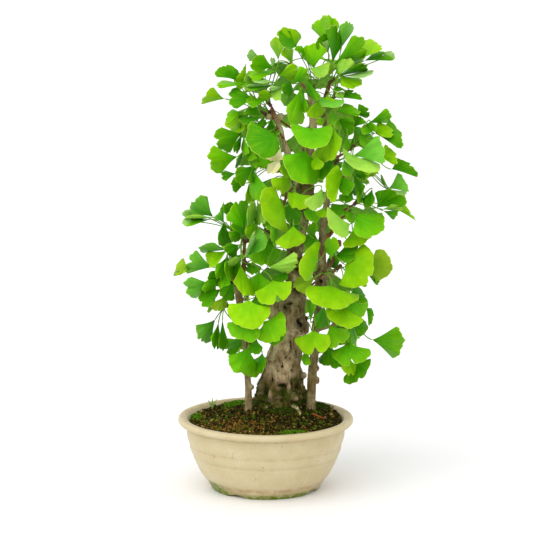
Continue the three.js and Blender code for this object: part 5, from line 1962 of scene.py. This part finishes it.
FRONT_SPRAYS = (
    spray(76, 491, 21,
        (79, 528, 53, 556, 71, 570, 87, 560, 26, BRIGHT, WHOLE),
        (79, 515, 70, 555, 86, 558, 104, 553, 14, DARK, VALLEY),
        (81, 513, 103, 548, 119, 536, 111, 511, 4),
        (104, 517, 118, 543, 137, 534, 128, 526, 20, LIME),
        (117, 517, 130, 530, 144, 525, 152, 517, 25, DARK, LOBED),
        (136, 519, 141, 527, 151, 527, 151, 517, 23, PALE),
        (90, 535, 86, 557, 98, 563, 104, 553, 12, TEAL)),
    spray(77, 470, 16,
        (52, 508, 59, 498, 72, 500, 75, 516, 0, LIGHT, CUPPED),
        (87, 500, 82, 515, 96, 520, 107, 513, 0, LIGHT),
        (88, 499, 104, 511, 118, 514, 120, 504, 8, DARK, WAVY),
        (87, 500, 114, 496, 108, 485, 89, 487, 9, LIME),
        (72, 474, 63, 473, 75, 461, 95, 470, -10, TEAL),
        (89, 473, 96, 483, 107, 480, 116, 470, 15, DARK, LOBED),
        (92, 499, 124, 506, 127, 502, 114, 496, 6, PALE),
        (72, 495, 73, 508, 82, 517, 86, 510, 24, LIME),
        (74, 476, 66, 470, 74, 465, 85, 469, -12, LIME),
        (92, 471, 83, 475, 85, 480, 94, 479, 8, LIGHT)),
    spray(52, 482, 30,
        (57, 508, 41, 522, 53, 537, 74, 530, 12, BRIGHT, WHOLE),
        (37, 533, 28, 553, 14, 546, 28, 529, 8, DARK, CUPPED),
        (36, 533, 11, 548, 27, 556, 43, 545, 20, LIME),
        (32, 512, 18, 524, 23, 533, 33, 530, 26, LIME),
        (16, 500, 28, 513, 39, 507, 31, 491, 4, LIME),
        (31, 491, 40, 512, 51, 503, 49, 492, 2),
        (19, 502, 26, 512, 35, 513, 38, 506, 9, PALE),
        (49, 495, 47, 482, 57, 470, 66, 475, -12, DARK),
        (74, 526, 59, 531, 66, 548, 78, 541, 10, DARK),
        (73, 528, 59, 531, 63, 537, 77, 541, 8, PALE),
        (46, 522, 33, 530, 40, 535, 45, 530, 14),
        (30, 492, 19, 490, 24, 475, 34, 480, 6, DARK)),
    spray(46, 463, 16,
        (62, 470, 48, 460, 57, 448, 72, 459, -8, LIME),
        (41, 483, 24, 462, 31, 443, 47, 446, -16, BRIGHT),
        (42, 484, 39, 468, 45, 455, 50, 466, -6),
        (72, 450, 61, 449, 61, 442, 68, 440, 0, LIME)),
    spray(6, 464, 23,
        (15, 518, 5, 535, 12, 545, 22, 534, 30, LIME),
        (-8, 522, -18, 516, -22, 524, -16, 531, 34, PALE),
        (8, 510, -3, 525, -18, 514, -8, 502, 10, MID, CUPPED),
        (14, 506, -21, 505, -19, 498, -12, 491, 14, BRIGHT),
        (10, 492, -5, 497, -14, 493, -6, 490, -4, PALE),
        (4, 487, -12, 492, -26, 488, -12, 481, 2, DARK),
        (8, 489, -20, 489, -21, 482, -3, 478, 3, PALE),
        (8, 509, 5, 518, 8, 521, 12, 517, 12, PALE),
        (8, 474, 3, 483, -10, 476, 0, 469, 4, LIME),
        (20, 484, 5, 480, 7, 472, 18, 470, 2, LIGHT),
        (20, 486, 6, 488, 5, 482, 12, 480, 3, PALE)),
    spray(0, 453, 18,
        (-36, 494, -60, 498, -48, 512, -31, 502, 20, DARK, LOBED),
        (-24, 490, -39, 492, -28, 506, -23, 515, 27, LIME),
        (-49, 472, -63, 487, -73, 475, -77, 465, 16, LIME),
        (-12, 472, -37, 487, -44, 472, -36, 459, 6, DARK),
        (2, 471, -14, 461, -22, 466, -23, 475, -6),
        (-18, 489, -26, 492, -22, 503, -16, 504, 20, LIGHT),
        (-9, 470, -15, 470, -19, 476, -19, 480, 4, LIME),
        (-25, 489, -48, 494, -58, 490, -54, 484, 18, BRIGHT)),
    spray(-4, 437, 12,
        (-28, 431, -55, 439, -60, 421, -43, 406, 0),
        (-34, 403, -64, 418, -68, 396, -55, 381, 4, BRIGHT),
        (-29, 456, -39, 460, -47, 451, -43, 442, 10, BRIGHT),
        (-20, 462, -34, 457, -41, 448, -46, 440, 16, LIME),
        (-5, 450, -20, 441, -29, 443, -33, 452, 0, DARK),
        (-31, 434, -41, 433, -41, 438, -35, 441, 12, LIGHT),
        (-29, 432, -35, 438, -35, 445, -31, 440, 13),
        (-28, 431, -39, 416, -36, 407, -30, 413, -2, DARK),
        (-26, 428, -29, 416, -26, 405, -19, 410, -4),
        (-7, 452, -11, 464, -21, 462, -26, 453, 2, DARK),
        (-3, 451, -11, 442, -4, 439, 2, 442, 8, DARK)),
    spray(16, 432, 6,
        (14, 429, -18, 447, -15, 408, 17, 411, -38, DARK, WHOLE),
        (18, 414, -1, 402, 8, 398, 21, 400, -28, WITHERED),
        (17, 401, 2, 394, 5, 382, 18, 391, -30, WITHERED),
        (-20, 416, -27, 404, -19, 398, -10, 402, -8),
        (-27, 408, -33, 402, -36, 389, -29, 398, -4, DARK),
        (6, 448, 1, 438, 8, 428, 16, 436, 18, DARK),
        (-5, 412, -22, 398, -9, 389, 9, 396, -6)),
    spray(12, 388, 8,
        (-12, 384, -22, 366, -8, 349, 4, 365, -26),
        (-15, 390, -31, 392, -37, 378, -26, 367, -12),
        (-24, 371, -38, 379, -41, 369, -36, 359, 4, DARK),
        (-20, 371, -25, 356, -21, 348, -17, 353, 0, LIME),
        (-36, 383, -49, 387, -53, 380, -48, 373, 12, DARK),
        (-15, 393, -21, 376, -16, 370, -10, 376, -20)),
    spray(51, 433, 10,
        (54, 437, 28, 446, 56, 412, 80, 442, -45, MID, WHOLE),
        (47, 411, 19, 405, 43, 370, 69, 388, -36, MID, WHOLE)),
    spray(83, 444, 6,
        (81, 438, 53, 404, 76, 397, 91, 424, -42, LIME),
        (60, 404, 52, 396, 61, 387, 70, 396, -41, LIME),
        (80, 405, 61, 388, 70, 375, 82, 390, -30, DARK),
        (86, 446, 96, 451, 106, 440, 96, 425, 0, DARK),
        (80, 457, 77, 445, 84, 438, 90, 447, -4),
        (84, 457, 93, 467, 110, 459, 108, 451, 8),
        (104, 438, 105, 452, 114, 450, 120, 443, 6, DARK),
        (97, 427, 91, 415, 96, 410, 102, 415, -2)),
    spray(101, 412, 8,
        (104, 404, 132, 429, 141, 413, 141, 394, -22, TEAL),
        (104, 405, 139, 393, 110, 387, 92, 414, -24, LIGHT, WHOLE),
        (130, 431, 148, 447, 163, 426, 159, 412, 10, DARK),
        (127, 434, 133, 445, 152, 432, 138, 427, 8, LIME),
        (122, 443, 142, 461, 149, 453, 146, 443, 16),
        (107, 453, 110, 466, 123, 458, 119, 449, 14, DARK, LOBED),
        (134, 403, 142, 418, 156, 404, 153, 393, 6, LIME),
        (150, 388, 155, 402, 174, 393, 182, 378, 12, DARK),
        (128, 432, 118, 442, 113, 436, 117, 429, 4),
        (110, 432, 112, 420, 119, 415, 126, 425, 2),
        (121, 390, 118, 385, 121, 381, 126, 384, -10, LIME),
        (124, 446, 119, 440, 127, 433, 132, 440, 6)),
    spray(106, 388, 4,
        (94, 384, 86, 393, 71, 370, 83, 347, -38, LIME, CUPPED),
        (91, 380, 87, 366, 97, 357, 106, 372, -42, DARK),
        (93, 400, 90, 385, 99, 379, 106, 389, -40),
        (147, 365, 158, 385, 168, 372, 171, 361, 8, TEAL),
        (147, 364, 138, 372, 138, 382, 142, 370, 6),
        (149, 364, 169, 362, 164, 354, 155, 356, 2, PALE),
        (118, 375, 103, 380, 108, 389, 122, 383, -4, DARK),
        (106, 381, 103, 360, 112, 356, 119, 368, -6, DARK),
        (114, 371, 108, 356, 112, 347, 118, 354, -8),
        (104, 363, 87, 357, 92, 348, 105, 351, 0, DARK)),
    spray(106, 346, 0,
        (133, 342, 130, 361, 158, 361, 168, 343, -2, DARK, WAVY),
        (157, 340, 166, 346, 176, 333, 180, 326, 8, LIME, LOBED),
        (141, 338, 159, 339, 157, 332, 152, 327, 0, DARK),
        (127, 364, 116, 353, 121, 341, 131, 352, -17, DARK),
        (140, 340, 150, 346, 163, 343, 160, 337, -6, LIME)),
    spray(98, 334, -4,
        (107, 335, 141, 336, 134, 309, 104, 312, -32, MID, WHOLE),
        (101, 322, 74, 343, 79, 315, 99, 308, -38, LIGHT, CUPPED),
        (104, 315, 91, 297, 111, 295, 128, 309, -22, LIME),
        (94, 346, 79, 347, 80, 335, 93, 334, -6, DARK),
        (104, 337, 94, 338, 99, 325, 107, 326, -12)),
    spray(38, 352, 6,
        (35, 361, 26, 361, 38, 339, 56, 356, -46, LIME),
        (67, 365, 46, 351, 60, 339, 72, 358, -50, LIGHT),
        (22, 343, 11, 368, -6, 340, 28, 312, -46, LIME, WHOLE),
        (50, 342, 45, 338, 57, 324, 65, 336, -30),
        (70, 343, 59, 337, 66, 330, 75, 333, -32, LIME),
        (29, 382, 6, 377, 17, 360, 31, 367, -30, LIME),
        (20, 395, 16, 389, 27, 378, 32, 391, -34, LIME),
        (26, 349, 21, 342, 32, 321, 45, 336, -6, DARK)),
    spray(34, 322, 6,
        (33, 320, 10, 300, 30, 293, 50, 306, -50, LIME, WHOLE),
        (-10, 350, -12, 326, -5, 321, 3, 330, -16, LIGHT),
        (4, 270, 35, 289, 38, 273, 24, 261, -34, LIGHT),
        (14, 323, 6, 317, 8, 299, 16, 298, -40),
        (58, 314, 47, 309, 50, 292, 65, 300, 12, DARK),
        (36, 331, 29, 326, 33, 311, 43, 320, 7, DARK),
        (-2, 337, -13, 338, -15, 325, -8, 321, 0, DARK),
        (6, 333, -4, 327, 0, 316, 9, 320, -20),
        (58, 306, 49, 312, 55, 324, 63, 318, 2)),
    spray(70, 292, -6,
        (63, 278, 66, 301, 41, 275, 54, 253, -40, LIME, WHOLE),
        (79, 280, 70, 290, 78, 307, 89, 294, -25, BRIGHT),
        (84, 284, 100, 302, 111, 290, 95, 274, -24, DARK),
        (95, 273, 116, 300, 127, 258, 88, 249, -36, LIME)),
    spray(86, 268, 2,
        (122, 270, 133, 293, 152, 271, 131, 253, -12, OLIVE, WHOLE),
        (122, 263, 128, 256, 134, 248, 137, 256, 0, DARK),
        (97, 248, 107, 250, 122, 231, 112, 226, -14, DARK),
        (104, 234, 83, 219, 103, 203, 125, 226, -34, MID, LOBED)),
    spray(68, 262, -6,
        (79, 248, 50, 248, 73, 219, 114, 236, -42, LIME),
        (60, 258, 41, 259, 34, 245, 51, 239, -20, OLIVE),
        (92, 223, 72, 220, 92, 197, 119, 206, -40, LIME, WHOLE),
        (121, 221, 128, 220, 130, 208, 124, 197, -8, DARK),
        (86, 266, 74, 271, 78, 285, 90, 281, 14, DARK)),
    spray(66, 212, 2,
        (54, 203, 50, 222, 56, 234, 61, 222, -12),
        (57, 193, 34, 183, 60, 162, 78, 187, -26, LIME, LOBED),
        (77, 199, 70, 178, 88, 173, 103, 194, -22, BRIGHT),
        (70, 223, 59, 211, 65, 194, 80, 206, -6, DARK),
        (99, 178, 79, 167, 103, 149, 128, 169, -14, MID, LOBED),
        (50, 171, 43, 160, 47, 150, 55, 152, -8)),
    spray(92, 206, 18,
        (103, 200, 97, 184, 105, 174, 111, 188, 0, DARK),
        (104, 202, 118, 206, 123, 193, 111, 185, 6, DARK),
        (129, 181, 158, 198, 167, 178, 155, 157, 10, MID, WHOLE),
        (110, 157, 128, 158, 113, 130, 93, 133, 4, DARK, WAVY),
        (103, 156, 91, 149, 103, 137, 114, 148, -4, LIME, LOBED),
        (78, 176, 62, 156, 78, 147, 98, 148, 24, DARK)),
    spray(-36, 312, 10,
        (-63, 331, -70, 357, -86, 351, -92, 333, 10, TEAL, WAVY),
        (-87, 335, -91, 340, -100, 335, -93, 330, 6, PALE, CURLED),
        (-62, 330, -84, 334, -97, 330, -88, 327, 4, LIGHT),
        (-66, 328, -88, 329, -95, 324, -91, 319, 8, BRIGHT),
        (-87, 325, -90, 331, -100, 325, -92, 319, 2, PALE, CURLED),
        (-50, 324, -63, 330, -56, 337, -50, 351, 6, TEAL),
        (-50, 324, -57, 311, -53, 295, -39, 302, 2, DARK, WHOLE),
        (-42, 328, -51, 337, -48, 347, -37, 347, -2, DARK),
        (-32, 318, -44, 311, -38, 300, -29, 307, 0)),
    spray(-21, 304, 8,
        (-25, 315, -48, 327, -35, 349, -20, 346, -20),
        (-22, 316, -23, 334, -14, 350, -13, 328, -24, LIGHT),
        (-26, 308, -41, 316, -37, 326, -24, 322, -10),
        (-10, 324, -23, 321, -20, 304, -7, 314, -12, LIME),
        (-23, 283, -9, 318, 2, 303, -5, 290, -28, TEAL),
        (-26, 281, -18, 306, -12, 311, -13, 291, -34, PALE),
        (3, 300, -20, 287, 0, 271, 19, 291, -10),
        (6, 306, -2, 300, 3, 292, 13, 296, 6, DARK),
        (-15, 297, -21, 286, -14, 277, -5, 284, -6),
        (-16, 277, -25, 268, -14, 261, -5, 270, 0, DARK)),
    spray(-40, 268, 10,
        (-47, 291, -62, 300, -79, 295, -75, 287, 10, TEAL),
        (-47, 290, -71, 289, -68, 271, -56, 276, 6, LIME),
        (-64, 270, -84, 292, -94, 277, -97, 261, 12, TEAL, LOBED),
        (-92, 270, -99, 282, -109, 263, -95, 265, 16, OLIVE),
        (-103, 264, -105, 267, -111, 262, -107, 259, 14, PALE),
        (-32, 297, -44, 300, -49, 289, -35, 281, -4, DARK),
        (-27, 282, -37, 283, -46, 274, -38, 271, -10, LIGHT),
        (-47, 282, -61, 272, -56, 254, -43, 260, 2),
        (-46, 285, -50, 273, -43, 253, -37, 268, -2, BRIGHT),
        (-50, 268, -67, 265, -67, 251, -51, 247, 8, DARK),
        (-34, 280, -42, 269, -35, 257, -27, 266, 4, DARK)),
    spray(-39, 250, 6,
        (-62, 249, -91, 259, -98, 246, -86, 230, 8, TEAL, WAVY),
        (-55, 243, -75, 243, -80, 227, -66, 221, 2, DARK),
        (-50, 234, -68, 226, -58, 216, -45, 226, -2, OLIVE),
        (-60, 233, -67, 226, -70, 214, -63, 221, 4, LIME),
        (-38, 250, -53, 246, -53, 231, -37, 230, -6, DARK),
        (-58, 257, -71, 254, -75, 240, -60, 237, 4),
        (-44, 263, -57, 256, -53, 243, -41, 248, 0)),
    spray(-20, 272, 6,
        (-30, 272, -39, 252, -24, 235, -10, 241, -28, LIME, WHOLE),
        (-8, 265, -20, 256, -9, 237, 7, 251, -16),
        (8, 254, -14, 239, 13, 225, 32, 253, -44, LIME, LOBED),
        (24, 265, 28, 258, 14, 251, 11, 262, -18, DARK)),
    spray(-22, 236, 4,
        (-20, 230, -46, 225, -22, 194, 7, 221, -42, LIME),
        (-22, 207, -48, 202, -27, 179, -5, 192, -30),
        (-2, 204, 19, 217, 18, 182, -14, 187, -34, BRIGHT),
        (5, 192, 27, 195, 17, 177, 4, 177, -18, DARK),
        (-12, 237, -18, 227, -6, 220, 5, 223, -10, DARK)),
    spray(-44, 221, 11,
        (-61, 206, -85, 199, -79, 180, -65, 180, 8, TEAL),
        (-57, 202, -67, 184, -60, 169, -54, 180, 4),
        (-52, 205, -57, 180, -53, 168, -45, 178, 0, DARK, VALLEY),
        (-24, 182, -47, 183, -49, 168, -37, 162, 20, DARK)),
    spray(-19, 177, 13,
        (-11, 182, -22, 177, -15, 163, -3, 171, 4, DARK),
        (-21, 172, -47, 161, -31, 138, -7, 147, -16),
        (-4, 165, 1, 158, -8, 139, -15, 156, -4, DARK),
        (-13, 151, -23, 141, -15, 134, -6, 142, 16, BRIGHT)),
)


@dataclass(frozen=True)
class BackCrown:
    """The leaves behind the stems: a spiral that fills the crown from side to side.

    rows holds the height, centre and half width of the crown. A value and its vary are the least
    and how much more, or for droop, height, swing and roll the middle and the whole spread.
    """

    rows: tuple = (
        (165, 38, 68), (230, 32, 78), (290, 33, 80), (350, 55, 72),
        (410, 46, 76), (470, 30, 62), (530, 42, 40),
    )
    sprays: int = 12
    leaves: int = 84
    low: float = 178.0
    high: float = 520.0
    sweep: float = 200.0
    centre: float = 30.0
    depth: float = 1.05
    spur_at: float = 0.46
    base_at: float = 0.76
    base_vary: float = 0.2
    width: float = 38.0
    width_vary: float = 16.0
    droop: float = 62.0
    droop_fall: float = 34.0
    droop_vary: float = 46.0
    height_vary: float = 14.0
    swing: float = 76.0
    roll: float = 54.0
    tones: tuple = (MID, LIME, BRIGHT, DARK)
    forms: tuple = (FAN, LOBED, WAVY, FAN, WHOLE)

    def crown_at(self, height: float) -> Span:
        """Measure the crown.

        Args:
            height: Height over the pot's foot.

        Returns:
            Its centre and its half width there.
        """
        above = max(1, next(i for i, row in enumerate(self.rows) if row[0] >= height))
        low, high = self.rows[above - 1], self.rows[above]
        share = min(max((height - low[0]) / (high[0] - low[0]), 0), 1)
        return lerp(low[1], high[1], share), lerp(low[2], high[2], share)

    def azimuth(self, number: int) -> float:
        """Return the turn of one step of the spiral from straight back, in degrees."""
        return self.sweep * (((number + 1) * GOLDEN) % 1 - 0.5)

    def point(self, azimuth: float, share: float, height: float) -> Array:
        """Return a point behind the stems.

        Args:
            azimuth: Turn from straight back towards +X, in degrees.
            share: Share of the crown's radius.
            height: Height over the pot's foot.

        Returns:
            The point.
        """
        centre, half = self.crown_at(height)
        turn = math.radians(azimuth)
        y = self.centre + half * share * self.depth * math.cos(turn)
        return np.array((centre + half * share * math.sin(turn), y, height))

    def leaf(self, number: int) -> LeafPose:
        """Place one leaf of the spiral: it points outwards, and droops more lower down.

        Args:
            number: Its number, counted upwards.

        Returns:
            The leaf.
        """
        level = (number + 0.5) / self.leaves
        azimuth = self.azimuth(number)
        rise = self.height_vary * (chance(number + 0.2) - 0.5)
        height = lerp(self.low, self.high, level) + rise
        base = self.point(azimuth, self.base_at + self.base_vary * chance(number), height)
        vary = self.droop_vary * (chance(number + 0.3) - 0.5)
        droop = math.radians(self.droop - self.droop_fall * level + vary)
        heading = math.radians(azimuth) + math.radians(self.swing * (chance(number + 0.45) - 0.5))
        roll = math.radians(self.roll * (chance(number + 0.85) - 0.5))
        out = np.array((math.sin(heading), math.cos(heading), 0.0))
        along = out * math.cos(droop) - UP * math.sin(droop)
        level_normal = out * math.sin(droop) + UP * math.cos(droop)
        normal = level_normal * math.cos(roll) + np.cross(along, level_normal) * math.sin(roll)
        width = self.width + self.width_vary * chance(number + 0.6)
        length = width / RULES.width_per_length
        shoulder = base + along * length * RULES.corner_at
        aside = np.cross(along, normal) * width / 2
        points = (base, shoulder - aside, base + along * length, shoulder + aside)
        tone = self.tones[int(len(self.tones) * chance(number + 40.7))]
        form = self.forms[int(len(self.forms) * chance(number + 71.9))]
        return LeafPose(*points, normal, tone, form, number + 0.5)

    def grow(self) -> list[tuple[Array, list[LeafPose]]]:
        """Share the back leaves out.

        Returns:
            The foot of each back spray and the leaves nearest to it.
        """
        feet = []
        for number in range(self.sprays):
            height = lerp(self.low, self.high, (number + 0.5) / self.sprays)
            feet.append(self.point(self.azimuth(number), self.spur_at, height))
        groups: list[list[LeafPose]] = [[] for _ in feet]
        for leaf in map(self.leaf, range(self.leaves)):
            away = [float(np.linalg.norm(foot - leaf.base)) for foot in feet]
            groups[away.index(min(away))].append(leaf)
        return list(zip(feet, groups))


class Foliage:
    """All the leaf sprays, front and back."""

    def sprays(self) -> list[LeafSpray]:
        """Gather the sprays, front and back.

        Returns:
            The sprays in the order of their nodes.
        """
        front = [(foot, leaves, BLADE) for foot, leaves in FRONT_SPRAYS]
        back = [(foot, leaves, BACK_BLADE) for foot, leaves in BackCrown().grow()]
        return [LeafSpray(number, *spray) for number, spray in enumerate(front + back, 1)]

    def build(self, finishes: Finishes) -> list[Object]:
        """Return every spray as an object."""
        return [spray.build(finishes) for spray in self.sprays()]


# ------------ studio
@dataclass
class Studio:
    """Plain pale floor, soft light from all round with a key at the left front, and the camera."""

    lens: float = 136.7
    sensor: float = 36.0
    farthest: float = 200.0
    pitch: float = 8.98
    floor_size: float = 60.0
    sky: float = 1.0
    sun: float = 1.15
    sun_angle: float = 60.0
    sun_azimuth: float = -38.0
    sun_height: float = 48.0

    def floor(self, finishes: Finishes) -> None:
        """Lay the floor.

        Args:
            finishes: The materials.
        """
        half = self.floor_size / 2
        mesh = bpy.data.meshes.new("studio_floor")
        corners = [(-half, -half, 0), (half, -half, 0), (half, half, 0), (-half, half, 0)]
        mesh.from_pydata(corners, [], [(0, 1, 2, 3)])
        mesh.materials.append(finishes.floor)
        link("studio_floor", mesh)

    def key(self) -> None:
        """Hang a wide sun at the upper left front."""
        light = bpy.data.lights.new("key", "SUN")
        light.energy = self.sun
        light.angle = math.radians(self.sun_angle)
        lamp = bpy.data.objects.new("key", light)
        tilt = math.radians(90 - self.sun_height)
        lamp.rotation_euler = (tilt, 0, math.radians(self.sun_azimuth))
        bpy.context.scene.collection.objects.link(lamp)

    def camera(self) -> None:
        """Stand the camera at the eye of the front elevation."""
        made = bpy.data.cameras.new("front_view")
        made.lens = self.lens
        made.sensor_width = self.sensor
        made.clip_end = self.farthest
        camera = bpy.data.objects.new("front_view", made)
        camera.location = BENCH.world(np.array(ELEVATION.eye))
        camera.rotation_euler = (math.radians(90 - self.pitch), 0, 0)
        bpy.context.scene.collection.objects.link(camera)
        bpy.context.scene.camera = camera

    def build(self, finishes: Finishes) -> None:
        """Set up the studio.

        Args:
            finishes: The materials.
        """
        scene = bpy.context.scene
        scene.view_settings.view_transform = "Standard"
        world = bpy.data.worlds.new("studio")
        scene.world = world
        world.use_nodes = True
        world.node_tree.nodes["Background"].inputs[0].default_value = (1, 1, 1, 1)
        world.node_tree.nodes["Background"].inputs[1].default_value = self.sky
        self.floor(finishes)
        self.key()
        self.camera()


def dress_drainage(finishes: Finishes) -> None:
    """Give the net over the drain hole and its wire clip their finishes.

    Args:
        finishes: The materials.
    """
    pieces = (("drain_net", finishes.net, "net_plastic"), ("net_clip", finishes.wire, "wire"))
    for node, material, slot in pieces:
        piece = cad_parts[node]
        piece.data.materials.clear()
        piece.data.materials.append(material)
        log.info("%s: frame node with its own finish", node)


def main() -> None:
    """Build every piece in order."""
    logging.basicConfig(level=logging.INFO, format="%(name)s %(message)s")
    finishes = Finishes()
    Studio().build(finishes)
    Pot().build(finishes)
    SoilBed().build(finishes)
    FallenTwig().build(finishes)
    GrassSprig().build(finishes)
    dress_drainage(finishes)
    for tree in TREES:
        tree.build(finishes)
    for patch in MOSS:
        patch.build(finishes)
    Foliage().build(finishes)


if __name__ == "__main__":
    main()
